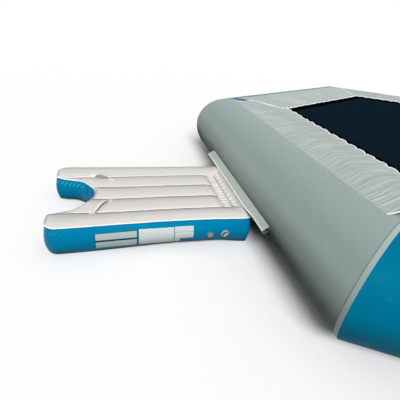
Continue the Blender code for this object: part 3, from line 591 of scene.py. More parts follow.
def make_materials():
    """Make every finish once."""
    coated_skin_group()
    weave_group()
    worn_metal_group()
    scene = bpy.context.scene
    ring, bed = scene.trampoline_ring, scene.trampoline_bed
    cover, platform = scene.trampoline_cover, scene.trampoline_platform
    # Tube masks: painted shade on the lower part of every tube, and a painted highlight band at mid
    # height on the grey tubes.
    coated("Grey Tube", ring.grey, 0.42, shine=0.11, shade_and_soil=(44, 47, 34), painted_highlight=(186, 202, 197))
    coated("Teal Tube", ring.teal, 0.36, shine=0.03, tint=(0.1, 0.75, 1.0), shade_and_soil=(0, 62, 84))
    coated("Grey Tape", [1.32 * c for c in ring.grey], 0.45, shade_and_soil=(96, 106, 102))
    # White Deck: painted shade behind each chamber's crown and along the far side and tip end, and
    # a painted highlight on each chamber's front crest.
    coated("White Deck", platform.deck, 0.46, drift=0.05, shade_and_soil=(70, 78, 78),
           painted_highlight=(232, 234, 232))
    # Teal Wall: painted shade towards the foot and under the top bead, with painted highlights on
    # the slanting wrinkles.
    coated("Teal Wall", platform.wall, 0.28, shine=0.05, tint=(0.05, 0.75, 1.0),
           shade_and_soil=(0, 62, 94), painted_highlight=(70, 190, 215))
    # Panel Cloth: painted shade between the puffs and along the loose edge, and a dark line on the
    # seam between the bands.
    coated("Panel Cloth", rgb(222, 219, 214), 0.48, shade_and_soil=(84, 92, 92))
    # White Bead: painted shade on the deck bead along the far side and the tip end.
    coated("White Bead", rgb(246, 248, 247), 0.40, shade_and_soil=(92, 98, 97))
    coated("Strip", rgb(188, 196, 189), 0.48, drift=0.16, shade_and_soil=(138, 148, 141))
    coated("Saddle Webbing", rgb(120, 128, 128), 0.62, drift=0.10, depth=0.0002)
    coated("Blank Label", platform.label, 0.38)
    # Strip Underside is dark grey: a dark strip, and on the carrier lip also painted shade under
    # the cover lip.
    for name, colour, gloss in (
            ("Dark Teal", (0, 52, 74), 0.40), ("White Patch", (222, 222, 218), 0.44),
            ("Pale Green Label", (168, 184, 180), 0.38), ("Strip Hem", (222, 229, 224), 0.44),
            ("Strip Underside", (70, 74, 76), 0.55), ("Anchor Patch", (150, 161, 158), 0.45)):
        coated(name, rgb(*colour), gloss)
    for name, colour, gloss in (
            ("Valve Plastic", (122, 114, 106), 0.36), ("Cap Plastic", (92, 87, 78), 0.34),
            ("Valve Rim", (180, 174, 166), 0.34), ("Cap Bar", (196, 192, 184), 0.34)):
        coated(name, rgb(*colour), gloss, depth=0.00002)
    # The mat's masked edge colour is a near-black band beside the covers' hem: a dark border, with
    # painted shade under the hem.
    woven("Mat Mesh", bed.mat, 0.0024, 0.7, 0.0004, sheen=0.0, shine=0.0, edge=(3, 4, 7))
    woven("Edge Webbing", bed.webbing, 0.0018, 0.5, 0.0003, sheen=0.0)
    woven("Elastic Cord", bed.cord, 0.0022, 0.6, 0.0003)
    woven("Cover Cloth", cover.cloth, 0.0011, 0.10, 0.00012)
    woven("Welt Cloth", [0.94 * c for c in cover.cloth], 0.0011, 0.10, 0.00012)
    woven("Hem Binding", cover.hem, 0.0014, 0.15, 0.0002)
    woven("Handle Webbing", rgb(222, 222, 218), 0.0016, 0.25, 0.0003)
    # Handle Underside: a dark layer under the pale straps that paints the shade beneath them.
    woven("Handle Underside", rgb(70, 74, 78), 0.0016, 0.4, 0.0003)
    metal("Galvanised Steel", (0.60, 0.62, 0.63), 0.36, 0.35)
    metal("Stainless Wire", (0.66, 0.66, 0.67), 0.20, 0.05)


def finish(name):
    """A finish by its name."""
    return bpy.data.materials[name]


def dress(node, name):
    """Give a CAD node that stays in sight its finish."""
    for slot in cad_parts[node].material_slots:
        slot.material = finish(name)


def bed_bridge(side, start, end, height):
    """Bridge from ring to bed, between two distances inward from a side's centre line."""
    return ("ring", "bed", tuple(at_side(side, -start, 0, height)),
            tuple(at_side(side, -end, 0, height)))


def tube_skin(out_angle, along_share, lift):
    """Radius of a tube's skin: drawn in a little, unevenly, where it meets a mitre."""
    ring = bpy.context.scene.trampoline_ring
    near = np.exp(-(1 - np.abs(along_share)) * HALF_SIDE / 0.055)
    wave = 0.6 + 0.4 * np.sin(34 * out_angle) * np.cos(21 * out_angle + 1.0)
    return TUBE_RADIUS + SKIN + lift - ring.pinch * near * wave


def tube_angles():
    """Angles of the facets round a tube."""
    return around(bpy.context.scene.trampoline_ring.facets)


def tube_grid(side, angles, shares, lift=0.0, mitre=None):
    """Points on a tube's skin by angle from the top and share of its half length.

    A mitre of (end, distance) keeps the points at a distance from that end's mitre instead.
    """
    radius = tube_skin(angles[None, :], shares[:, None], lift)
    out = radius * np.sin(angles)[None, :]
    height = np.maximum(TUBE_RADIUS + radius * np.cos(angles)[None, :], 0.0)
    length = half_length(out) - MITRE_GAP
    along = mitre[0] * (length - mitre[1]) if mitre else shares[:, None] * length
    return at_side(side, out, along, height)


def tube_patch(skin, side, angle, along, radius, edges, steps):
    """Add a round patch on a tube, from pairs of a share of its radius and a lift."""
    turns = around(steps)
    rows = []
    for share, lift in edges:
        spin = angle + radius * share * np.cos(turns) / TUBE_RADIUS
        reach = TUBE_RADIUS + SKIN + lift
        rows.append(at_side(side, reach * np.sin(spin), along + radius * share * np.sin(turns),
                            TUBE_RADIUS + reach * np.cos(spin)))
    skin.lid(rows)


class MakeTubes(bpy.types.Operator):
    """Six mitred air tubes, grey and teal by turns"""
    bl_idname = "trampoline.tubes"
    bl_label = "Air Tubes"

    def execute(self, context):
        """Make the air tubes."""
        angles, ease = tube_angles(), np.linspace(-1, 1, 72)
        shares = np.sign(ease) * (1 - (1 - np.abs(ease)) ** 1.6)
        for side in range(SIDES):
            skin, points = Skin(), tube_grid(side, angles, shares)
            lay = np.zeros(points.shape)
            lay[..., 0] = angles[None, :] * TUBE_RADIUS
            lay[..., 1] = shares[:, None] * HALF_SIDE
            # Painted shade on the tube's lower part, stronger on the grey tubes; the band taken off
            # at mid height paints a highlight on the grey tubes.
            shade = (1.15, 0.70)[side % 2] * smooth((0.455 - points[..., 2]) / 0.19)
            lay[..., 2] = shade - 0.36 * bell(points[..., 2] - 0.56, 0.085)
            skin.grid(points, round_columns=True, lay=lay)
            skin.rest(f"air_tube_{side + 1}", ("Grey Tube", "Teal Tube")[side % 2], "ring",
                      TUBE_SLOTS[side % 2], f"tube_segment_{side + 1}")
        return {"FINISHED"}


class MakeSeamTapes(bpy.types.Operator):
    """Tapes welded over the mitres and along each tube's lower seam"""
    bl_idname = "trampoline.seam_tapes"
    bl_label = "Seam Tapes"

    def execute(self, context):
        """Make the seam tapes."""
        ring, angles = context.scene.trampoline_ring, tube_angles()
        for side in range(0, SIDES, 2):
            for end in (-1, 1):
                skin, rows = Skin(), []
                for share, lift in ((1.0, 0), (1.0, 1), (0.90, 1), (0.84, 1), (0.5, 1),
                                    (0.06, 1), (0.0, 1), (0.0, 0)):
                    back = share * ring.tape_width
                    rows.append(tube_grid(side, angles, np.array([end * (1 - back / HALF_SIDE)]),
                                          lift * ring.tape_thickness, (end, back))[0])
                lay = np.zeros(np.shape(rows))
                lay[:3, :, 2] = 1.0
                skin.grid(rows, round_columns=True, lay=lay)
                skin.rest(f"mitre_tape_{side + (end > 0) + 1}", "Grey Tape", "ring", "grey_pvc")
        half = 0.017 / TUBE_RADIUS
        across = half * np.array([-1, -1, -0.9, 0, 0.9, 1, 1]) + math.radians(218)
        lifts = np.array([0.0, 1, 1, 1, 1, 1, 0.0]) * ring.tape_thickness
        for side in range(SIDES):
            skin = Skin()
            skin.grid(tube_grid(side, across, np.linspace(-0.985, 0.985, 40), lifts[None, :]))
            skin.rest(f"belly_tape_{side + 1}", ("Grey Tape", "Teal Tube")[side % 2], "ring",
                      TUBE_SLOTS[side % 2])
        return {"FINISHED"}


class MakeFrame(bpy.types.Operator):
    """Steel rails on the ring's shoulder, and the webbing saddles that hold them"""
    bl_idname = "trampoline.frame"
    bl_label = "Steel Frame"

    def execute(self, context):
        """Make the rails and finish the saddles."""
        collar = ((0.0008, 0.0), (0.0012, 0.0016), (0.005, 0.0022), (0.009, 0.0016), (0.010, 0))
        runs = [[(share, 0.0003, 0.0) for share in np.linspace(-1, 1, 25)]]
        runs += [[(end, back, lift) for back, lift in collar] for end in (-1, 1)]
        for side in range(SIDES):
            skin = Skin()
            for run in runs:
                rows = []
                for share, back, lift in run:
                    outline = circle(RAIL_RADIUS + lift, 40)
                    out = -RAIL_IN + outline[:, 0]
                    rows.append(at_side(side, out, share * (half_length(out) - back),
                                        RAIL_HEIGHT + outline[:, 1]))
                skin.grid(rows, round_columns=True)
            skin.rest(f"rail_{side + 1}", "Galvanised Steel", "ring", "galvanised_steel",
                      f"frame_rail_{side + 1}")
            dress(f"frame_saddle_{side + 1}", "Saddle Webbing")
        return {"FINISHED"}


def lacing(side):
    """Route of one side's cord: round the rail, and through each wire ring of the mat."""
    wrap = RAIL_RADIUS + CORD_RADIUS + 0.0004
    pull = V_RING_WIRE / 2 + CORD_RADIUS + 0.0003
    route = []
    for i in range(RINGS + 1):
        along = (i - RINGS / 2) * RING_PITCH
        turns = [(RAIL_IN, wrap, along, np.arange(285, 60, -15))]
        if i < RINGS:
            turns.append((V_RING_START + 0.021, pull, along + RING_PITCH / 2,
                          (70, 35, 0, -35, -70)))
        for middle, reach, place, degrees in turns:
            for angle in np.radians(degrees):
                route.append((middle + reach * math.cos(angle), place,
                              RAIL_HEIGHT + reach * math.sin(angle)))
    route = np.array(route)
    return at_side(side, -route[:, 0], route[:, 1], route[:, 2])


class MakeCords(bpy.types.Operator):
    """Elastic cords laced between the rails and the mat's wire rings"""
    bl_idname = "trampoline.cords"
    bl_label = "Elastic Cords"

    def execute(self, context):
        """Make the cords."""
        for side in range(SIDES):
            skin = Skin()
            skin.tube(sweep(lacing(side), circle(CORD_RADIUS, 12), up=side_axis(side)))
            skin.bend(f"cord_{side + 1}", "Elastic Cord",
                      bed_bridge(side, 0.26, 0.44, RAIL_HEIGHT), "elastic_cord",
                      f"elastic_cord_{side + 1}")
        return {"FINISHED"}


def wire_ring():
    """Three-sided wire ring as (inward, along) places, and how far inward its base is."""
    half = V_RING_WIDTH / 2 - V_RING_WIRE / 2
    base = V_RING_START + V_RING_LENGTH - V_RING_WIRE
    corners = np.array([(V_RING_START + V_RING_WIRE, 0.0), (base, half), (base, -half)])
    path, bend = [], 0.010
    for k, here in enumerate(corners):
        back, ahead = corners[k - 1], corners[(k + 1) % 3]
        a = here + (back - here) / np.linalg.norm(back - here) * bend
        b = here + (ahead - here) / np.linalg.norm(ahead - here) * bend
        c = ahead + (here - ahead) / np.linalg.norm(ahead - here) * bend
        path += [(1 - t) ** 2 * a + 2 * t * (1 - t) * here + t * t * b
                 for t in np.linspace(0, 1, 6)]
        path += [b * (1 - t) + c * t for t in np.linspace(0.1, 0.9, 6)]
    return np.array(path), base


class MakeMat(bpy.types.Operator):
    """Woven jump mat with its edge webbing, tabs and wire rings"""
    bl_idname = "trampoline.mat"
    bl_label = "Jump Mat"

    def execute(self, context):
        """Make the mat, its webbing and its rings."""
        bed = context.scene.trampoline_bed
        skin = Skin()
        reach = APOTHEM - MAT_EDGE
        edge = (APOTHEM - COVER_EDGE - np.array((MAT_FALL - 0.020, MAT_FALL))) / reach
        shares = np.sort(np.append(np.linspace(0, 1, bed.steps + 1), edge))
        inward = APOTHEM - shares * reach
        along = np.linspace(-1, 1, bed.steps + 1)[None, :] * half_length(-inward)[:, None]
        for order, drop in ((1, 0.0), (-1, 0.0014)):
            height = MAT_TOP - drop - bed.sag * (1 - shares ** 2)
            for side in range(SIDES):
                points = at_side(side, -inward[:, None], along, height[:, None])
                lay = points.copy()
                # Near-black band beside the covers' hem: a dark border, and painted shade under the
                # hem.
                lay[..., 2] = smooth((COVER_EDGE + MAT_FALL - inward) / 0.020)[:, None]
                skin.grid(points[::order], lay=lay[::order])
        mat = skin.rest("mat_mesh", "Mat Mesh", "bed", "mat_mesh", "jump_mat")
        skin = Skin()
        low, top = MAT_TOP - 0.0038, MAT_TOP - 0.0018
        middle = (low + top) / 2
        inward, height = np.array([
            (MAT_EDGE - 0.002, low), (MAT_EDGE - 0.0032, middle), (MAT_EDGE - 0.002, top),
            (MAT_EDGE + 0.049, top), (MAT_EDGE + 0.050, middle), (MAT_EDGE + 0.049, low)]).T
        for side in range(SIDES):
            skin.grid([at_side(side, -inward, share * half_length(-inward), height)
                       for share in np.linspace(-1, 1, 33)], round_columns=True)
        webbing = skin.rest("mat_edge_webbing", "Edge Webbing", "bed", "edge_webbing",
                            "mat_webbing")
        rings, tabs = Skin(), Skin()
        path, base = wire_ring()
        for side in range(SIDES):
            for i in range(RINGS):
                place = (i - (RINGS - 1) / 2) * RING_PITCH
                points = at_side(side, -path[:, 0], path[:, 1] + place, RAIL_HEIGHT)
                rings.hoop(sweep(points, circle(V_RING_WIRE / 2, 10), closed=True))
                for z in (low - 0.0014, MAT_TOP + 0.0002):
                    across = np.array((-0.019, 0.019, 0.019, -0.019)) + place
                    height = z + np.array((0, 0, 0.0012, 0.0012))
                    tabs.tube([at_side(side, -(base + back), across, height)
                               for back in (-0.004, 0.006, 0.05)])
        rings = rings.rest("mat_wire_rings", "Stainless Wire", "bed", "stainless_wire")
        tabs = tabs.rest("mat_ring_tabs", "Edge Webbing", "bed", "edge_webbing")
        return {"FINISHED"}


def cover_base(inward):
    """Lowest height of the cover across a side: over the rail and rings, then onto the mat."""
    places = [-0.03, 0.0, 0.05, 0.12, 0.19, 0.245, 0.35, 0.4686, 0.5208, 0.57, COVER_EDGE + 0.05]
    heights = [0.8017, 0.8019, 0.8021, 0.8070, 0.8150, 0.8156, 0.8050, 0.7935, 0.7850, 0.7822,
               0.7822]
    return np.interp(inward, places, heights)


def cover_end(inward):
    """Half length of a cover at a distance inward: square at the tube, mitred over the mat."""
    return np.minimum(COVER_HALF, half_length(-np.asarray(inward)) - 0.003)


def crease_run(lean, inward, pitch, width, seed):
    """Narrow ridges side by side, each with its own strength that changes on its way."""
    place = lean / pitch + 0.30 * creases(lean / (4 * pitch), inward / 0.5, seed)
    strength = 0.55 + 0.75 * creases(np.floor(place), inward / 0.24, seed + 1)
    return np.clip(strength, 0, 1.3) * bell(place % 1.0 - 0.5, width)


def scallop(along, side):
    """Even row of scallops that the gathers draw into the hem."""
    phase = along / 0.135 + 0.22 * creases(along / 0.30, 0, 61 + side)
    depth = 0.85 + 0.20 * creases(along / 0.09, 0, 71 + side)
    return np.abs(np.sin(math.pi * phase)) ** 0.7 * depth


def cover_folds(along, inward, side):
    """Height of the gathers, folds and ruffles above the cover's base line."""
    cover = bpy.context.scene.trampoline_cover
    depth = inward / COVER_EDGE
    slant = 0.40 + 0.16 * creases(along / 0.60, inward / 0.9, 11 + side)
    lean = along + slant * inward + 0.014 * creases(along / 0.14, inward / 0.20, 21 + side)
    broad = np.abs(creases(lean / 0.105, inward / 0.60, 31 + side)) ** 0.85
    ridge = crease_run(lean, inward, 0.056, 0.17, 41 + side)
    small = crease_run(lean + 0.05 * inward, inward, 0.033, 0.22, 51 + side)
    ruffle = scallop(along, side) + 0.14 * creases(lean / 0.020, inward / 0.20, 75 + side)
    opening = smooth(depth / 0.07)
    height = cover.broad * broad * smooth(depth / 0.30) * (1 - 0.4 * smooth((depth - 0.75) / 0.25))
    loose = 0.70 + 0.55 * creases(along / 0.26, inward / 0.30, 65 + side)
    height += cover.gather * loose * ridge * opening * (1 - 0.45 * smooth((depth - 0.85) / 0.15))
    height += 0.45 * cover.gather * small * opening * (1 - 0.7 * smooth((depth - 0.25) / 0.35))
    height += cover.ruffle * ruffle * smooth((depth - 0.86) / 0.14)
    return 0.030 * np.tanh(height / 0.030)


class MakeCovers(bpy.types.Operator):
    """Gathered cloth covers over the cords, with welt, hem and bound ends"""
    bl_idname = "trampoline.covers"
    bl_label = "Edge Covers"

    def execute(self, context):
        """Make the covers and their edges."""
        cover = context.scene.trampoline_cover
        inward = np.linspace(0.0, COVER_EDGE - 0.010, cover.rows)
        across = np.linspace(-1, 1, cover.columns)
        along = across[None, :] * cover_end(inward)[:, None]
        room = cover_end(inward)[:, None] - np.abs(along)
        line = np.linspace(-1, 1, 200) * COVER_HALF
        for side in range(SIDES):
            deep = np.broadcast_to(inward[:, None], along.shape)
            height = cover_base(deep) + cover_folds(along, deep, side)
            deep = deep + (0.014 * scallop(along, side) * smooth(room / 0.05)
                           * smooth((deep / COVER_EDGE - 0.84) / 0.14))
            bridge = bed_bridge(side, 0.25, 0.50, 0.8)
            skin = Skin()
            skin.grid(at_side(side, -deep, along, height)[:, ::-1],
                      lay=np.stack([along, deep, 0 * along], -1)[:, ::-1])
            cloth = skin.bend(f"cover_cloth_{side + 1}", "Cover Cloth", bridge, "cover_cloth",
                              f"edge_cover_{side + 1}", sharp=math.pi)
            skin = Skin()
            radius = cover.hem_radius * (1 + 0.15 * creases(along[-1] / 0.02, 0, 81 + side))
            skin.tube(sweep(at_side(side, -deep[-1], along[-1], height[-1] + 0.001),
                            circle(1.0, 12)[None] * radius[:, None, None]))
            hem = skin.bend(f"cover_hem_{side + 1}", "Hem Binding", bridge, "cover_cloth")
            skin = Skin()
            for end in (0, -1):
                edge = at_side(side, -deep[:, end], along[:, end], height[:, end] + 0.0004)
                skin.tube(sweep(edge, circle(0.0058, 12, 0.42)))
            binding = skin.bend(f"cover_binding_{side + 1}", "Hem Binding", bridge, "cover_cloth")
            skin, rows = Skin(), []
            for place, lift in ((-0.5, -0.0020), (-0.5, 0.0006), (-0.40, 0.0013), (0.0, 0.0015),
                                (0.42, 0.0013), (0.5, 0.0004), (0.5, -0.0012)):
                w = place * cover.welt
                top = np.interp(abs(w), [0, 0.03], [0.8019, 0.8006])
                uneven = 0.0008 * creases(line / 0.04, place, 91 + side)
                rows.append(at_side(side, -w, line, top + lift + uneven))
            skin.grid(rows)
            welt = skin.bend(f"cover_welt_{side + 1}", "Welt Cloth", bridge, "cover_cloth")
        self.gussets()
        return {"FINISHED"}

    def gussets(self):
        """Make the small gussets under the covers' corners."""
        deep = np.linspace(0.115, 0.245, 27)[:, None]
        share = np.linspace(-1, 1, 41)[None, :]
        tube = TUBE_RADIUS + np.sqrt(TUBE_RADIUS ** 2 - deep ** 2)
        edge = TUBE_RADIUS + math.sqrt(TUBE_RADIUS ** 2 - 0.15 ** 2) + 0.0030
        level = np.where(deep < 0.151, tube + 0.0030, cover_base(deep) - 0.0022)
        level = np.where((deep > 0.15) & (deep < 0.195),
                         np.interp(deep, (0.15, 0.195), (edge, 0.8128)), level)
        away = share * (0.085 + 0 * deep)
        for side in range(SIDES):
            skin = Skin()
            ahead = at_side(side, -deep, half_length(-deep) + np.minimum(away, 0), level)
            back = at_side((side + 1) % SIDES, -deep, np.maximum(away, 0) - half_length(-deep),
                           level)
            skin.grid(np.where((share <= 0)[..., None], ahead, back)[:, ::-1])
            skin.rest(f"cover_gusset_{side + 1}", "Welt Cloth", "ring", "cover_cloth")


def valve_body(skin, radius, origin, axis):
    """Moulded flange with a rolled rim, a collar and a ribbed throat."""
    collar = 0.68 * radius
    skin.turned([(0.5 * radius, -0.03), (0.5 * radius, 0.0002), (radius * 0.99, 0.0002),
                 (radius, 0.0014), (radius, 0.0038), (radius * 0.985, 0.0050),
                 (radius * 0.95, 0.0055), (collar + 0.004, 0.0053), (collar + 0.001, 0.0058),
                 (collar, 0.0068), (collar, 0.0100), (collar - 0.0015, 0.0104)], origin, axis)


def valve_cap(skin, radius, origin, axis):
    """Ribbed screw cap with a sunk face."""
    rim, foot = 0.80 * radius, 0.0106
    head = foot + 0.008
    skin.turned([(rim * 0.98, foot, 0), (rim, foot + 0.001, 1), (rim, head - 0.0025, 1),
                 (rim - 0.001, head - 0.0008, 0.4), (rim - 0.0028, head, 0),
                 (rim - 0.005, head, 0), (rim - 0.0062, head - 0.0015, 0),
                 (rim - 0.0066, head - 0.0036, 0), (0.004, head - 0.0038, 0)],
                origin, axis, lobes=36, depth=0.0005, steps=288)


def power_cosine(value, exponent):
    """A cosine or sine with its corners squared up."""
    return np.sign(value) * np.abs(value) ** exponent


def cap_bar(skin, radius, origin, axis, along):
    """Pale bar across a cap's sunk face."""
    rim, head = 0.80 * radius, 0.0186
    up = Vector(axis)
    turn = Matrix.Rotation(math.radians(35), 3, up)
    side = Vector(along).normalized()
    run, cross = np.array(turn @ side), np.array(turn @ up.cross(side))
    angles = around(48)
    rows = []
    for lift, grow in ((-0.0045, 1.0), (0.001, 1.0), (0.0035, 0.93), (0.0042, 0.75)):
        a = power_cosine(np.cos(angles), 0.35) * (rim * 0.80 - 0.0045 * (1 - grow))
        b = power_cosine(np.sin(angles), 0.55) * 0.17 * radius * grow
        rows.append(np.array(origin) + a[:, None] * run + b[:, None] * cross
                    + np.array(up) * (head + lift))
    skin.tube(rows)


def relief_valve(skin, radius, origin, axis):
    """Relief valve: a flange and a knob whose lobes show like petals."""
    profile = [(0.5, -0.03, 0), (0.5, 0.0002, 0), (0.98, 0.0002, 0), (1, 0.0014, 0),
               (1, 0.0040, 0), (0.97, 0.0053, 0), (0.84, 0.0055, 0.3), (0.80, 0.0060, 1),
               (0.78, 0.0085, 1), (0.72, 0.0100, 1), (0.60, 0.0104, 0.8), (0.40, 0.0098, 0.5),
               (0.12, 0.0100, 0.0)]
    skin.turned([(radius * share, height, lobe) for share, height, lobe in profile],
                origin, axis, lobes=6, depth=0.0026, steps=192)


def petals(skin, radius, origin, axis):
    """Raised light petals on a relief valve's knob."""
    up = Vector(axis)
    side = Vector((0, 0, 1)).cross(up).normalized()
    angles = around(32)
    for k in range(6):
        turn = Matrix.Rotation(math.pi / 3 * k, 3, up)
        out, cross = np.array(turn @ side), np.array(turn @ up.cross(side))
        centre = np.array(origin) + out * radius * 0.47
        rows = []
        for grow, lift in ((1.0, 0.0085), (1.0, 0.0108), (0.85, 0.0118), (0.45, 0.0122)):
            a = np.cos(angles) * radius * 0.24 * grow
            b = np.sin(angles) * radius * 0.145 * grow * (1 + 0.35 * np.cos(angles))
            rows.append(centre + a[:, None] * out + b[:, None] * cross + np.array(up) * lift)
        skin.tube(rows)


def valve_set(prefix, fill, relief, axis, along, radius, relief_radius):
    """Filling valve with its cap and the cap's bar, and relief valve with its petals."""
    body, cap, bar, knob, leaves = (Skin() for _ in range(5))
    valve_body(body, radius, fill, axis)
    body.rest(f"{prefix}_valve", "Valve Rim", prefix, "valve_plastic", f"{prefix}_valve_body")
    valve_cap(cap, radius, fill, axis)
    cap.rest(f"{prefix}_cap_screw", "Cap Plastic", f"{prefix}_cap", "cap_plastic",
             f"{prefix}_valve_cap")
    cap_bar(bar, radius, fill, axis, along)
    bar.rest(f"{prefix}_cap_bar", "Cap Bar", f"{prefix}_cap", "cap_plastic")
    relief_valve(knob, relief_radius, relief, axis)
    knob.rest(f"{prefix}_relief", "Valve Plastic", prefix, "valve_plastic",
              f"{prefix}_relief_valve")
    petals(leaves, relief_radius, relief, axis)
    leaves.rest(f"{prefix}_relief_petals", "Valve Rim", prefix, "valve_plastic")


class MakeRingValves(bpy.types.Operator):
    """Filling valve with its cap, and the relief valve, on the air ring"""
    bl_idname = "trampoline.ring_valves"
    bl_label = "Ring Valves"

    def execute(self, context):
        """Make the ring's valves."""
        angle, side = math.radians(60), SIDES // 2
        axis = at_side(side, math.sin(angle), 0, math.cos(angle)) - at_side(side, 0, 0, 0)
        skin, origins = Skin(), []
        for along, radius in ((0.90, 0.075), (0.72, 0.058)):
            tube_patch(skin, side, angle, along, radius,
                       ((0.5, 0.0014), (0.97, 0.0014), (1.0, 0.0009), (1.0, -0.001)), 72)
            origins.append(tuple(at_side(side, 0.4 * math.sin(angle), along,
                                         0.4 + 0.4 * math.cos(angle))))
        skin.rest("ring_valve_patches", "Teal Tube", "ring", "teal_pvc")
        valve_set("ring", *origins, axis, tuple(side_axis(side)), 0.050, 0.036)
        return {"FINISHED"}


class MakeMoorings(bpy.types.Operator):
    """Mooring patches with their tabs and D-rings under the ring"""
    bl_idname = "trampoline.moorings"
    bl_label = "Mooring Points"

    def execute(self, context):
        """Make the mooring points."""
        angle, up = -math.radians(120), np.array((0, 0, 1.0))
        wing = np.array([(0.011, -0.0040), (0.020, -0.0052), (0.024, -0.0066)])
        tab = np.vstack([wing[::-1] * (-1, 1), arc(0.0072, 200, -20, 23), wing,
                         [(0.010, -0.0060)], arc(0.0045, -20, 200, 23), [(-0.010, -0.0060)]])
        curl = np.radians(np.linspace(-70, 0, 6))
        flat = np.linspace(-0.025, 0.025, 12)
        bow = np.radians(np.linspace(0, 180, 32))
        uncurl = np.radians(np.linspace(0, 70, 6))
        across = np.concatenate([flat, 0.025 + 0.004 * np.cos(curl), 0.029 * np.cos(bow),
                                 -0.025 - 0.004 * np.cos(uncurl)])
        height = np.concatenate([0 * flat, -0.004 * (1 + np.sin(curl)),
                                 -0.021 - 0.029 * np.sin(bow), -0.004 * (1 - np.sin(uncurl))])
        for number, side in enumerate(range(1, SIDES, 2), start=1):
            skin = Skin()
            tube_patch(skin, side, angle, 0, 0.074, ((0.15, 0.0026), (0.6, 0.0026),
                                                     (0.97, 0.0020), (1.0, 0.0012),
                                                     (1.0, -0.0010)), 96)
            normal = at_side(side, math.sin(angle), 0, math.cos(angle)) - at_side(side, 0, 0, 0)
            run = side_axis(side)
            cross = np.cross(run, normal)
            centre = at_side(side, TUBE_RADIUS * math.sin(angle), 0,
                             TUBE_RADIUS + TUBE_RADIUS * math.cos(angle)) + normal * 0.0099
            skin.grid([centre + run * end * 0.020 + tab[:, :1] * cross + tab[:, 1:] * normal
                       for end in np.linspace(-1, 1, 9)], round_columns=True)
            skin.rest(f"mooring_patch_{number}", "Anchor Patch", "ring", "patch_pvc",
                      f"anchor_patch_{number}")
            skin = Skin()
            line = centre + across[:, None] * run + height[:, None] * up
            skin.hoop(sweep(line, circle(0.0035, 14), up=np.cross(run, up), closed=True))
            skin.rest(f"mooring_d_ring_{number}", "Stainless Wire", f"mooring_ring_{number}",
                      "stainless_wire", f"d_ring_{number}")
        return {"FINISHED"}


def strip_section(inset, lip_length, drop, wave):
    """Cross-section of a strip as (outward, height): base on the tube, then the lip."""
    start = math.atan2(0.4000, 0.3473 - TUBE_RADIUS) + inset / TUBE_RADIUS
    reach = TUBE_RADIUS + 0.0014
    angles = start + 0.044 * np.linspace(1, 0, 9) / TUBE_RADIUS
    base = np.stack([reach * np.sin(angles), TUBE_RADIUS + reach * np.cos(angles)], -1)
    lip = np.array((math.cos(drop), -math.sin(drop)))
    normal = np.array((lip[1], -lip[0]))
    line = [base[-1] + lip * lip_length * s + normal * -wave * s * s
            for s in np.linspace(0.06, 1, 12)]
    return np.vstack([base, line])


class MakeStrips(bpy.types.Operator):
    """Welded strips on the tube: a cover lip above and the carrier lip below"""
    bl_idname = "trampoline.strips"
    bl_label = "Attachment Strips"

    def execute(self, context):
        """Make the two strips."""
        bridge = ("ring", "platform", (-2.1045, 0.0, 0.3434), (-2.180, 0.0, 0.290))
        skin, sections = self.strip(True, 0.004, 0.066, math.radians(38.7))
        skin.bend("cover_strip_flap", "Strip", bridge, "strip_pvc", "attachment_cover_strip")
        for name, colour, part in (("strip_hem_tube", "Strip", slice(8, 11)),
                                   ("strip_hem_lip", "Strip Hem", slice(18, 21))):
            skin, rows = Skin(), []
            for section, away, y in sections:
                low, high = section[part] - away[part] * 0.0004, section[part] + away[part] * 0.0016
                ring = np.vstack([low, high[::-1]])
                rows.append(at_side(0, ring[:, 0], -y, ring[:, 1]))
            skin.tube(rows)
            skin.bend(name, colour, bridge, "strip_pvc")
        # The carrier lip's dark grey also paints the shade under the cover lip.
        skin, _ = self.strip(False, 0.056, 0.050, math.radians(28.6))
        skin.rest("carrier_strip_flap", "Strip Underside", "ring", "lower_strip",
                  "attachment_lower_strip")
        return {"FINISHED"}

    def strip(self, upper, inset, length, drop):
        """Skin of one strip, and its sections with their outward directions."""
        skin, sections, rows = Skin(), [], []
        lines = np.linspace(-STRIP_HALF, STRIP_HALF, 180)
        for y in lines:
            wave = 0.0022 * creases(y / 0.19, 0.3, 5) * upper
            reach = smooth((y + 0.62) / 0.22) * upper
            section = strip_section(inset, length + 0.016 * reach, drop - 0.134 * reach, wave)
            run = np.gradient(section, axis=0)
            run /= np.linalg.norm(run, axis=1)[:, None]
            away = np.stack([run[:, 1], -run[:, 0]], -1)
            away *= -np.sign(np.sum(away[4] * (section[4] - np.array((0, TUBE_RADIUS)))))
            under = section - away * 0.0028
            edge = section[-1] + run[-1] * 0.0006 + (under[-1] - section[-1]) * 0.5
            ring = np.vstack([section, edge, under[::-1]])
            rows.append(at_side(0, ring[:, 0], -y, ring[:, 1]))
            sections.append((section, away, y))
        lay = np.zeros(np.shape(rows))
        place = np.arange(lay.shape[1])[None, :]
        lay[..., 2] = (0.45 * np.abs(creases(lines[:, None] / 0.022, place / 3.0, 43))
                       + 0.25 * (place > 8))
        skin.tube(rows, lay)
        return skin, sections


def corner_round(inset, radius):
    """How far a rounded corner lies back from a square one."""
    deep = radius - np.minimum(inset, radius)
    return radius - np.sqrt(np.maximum(radius ** 2 - deep ** 2, 0))


def platform_ends(y):
    """Where the platform's seam starts and ends along X at a distance from its middle."""
    size = np.abs(np.asarray(y, dtype=float))
    inset = HALF_WIDTH - size
    notch = through(NOTCH_SHAPE, 12)
    start = TIP + corner_round(inset, TIP_RADIUS)
    end = HEEL + 0.022 * smooth((size - OUTER_WEB - 0.006) / 0.05)
    return (start + np.interp(size, notch[:, 0], notch[:, 1], right=0.0),
            end - corner_round(inset, HEEL_RADIUS))


def rise(x):
    """Where the platform arches between its tip and its heel, from 0 to 1."""
    return smooth((x - TIP - 0.25) / 0.85) * smooth((HEEL - 0.02 - x) / 0.25)


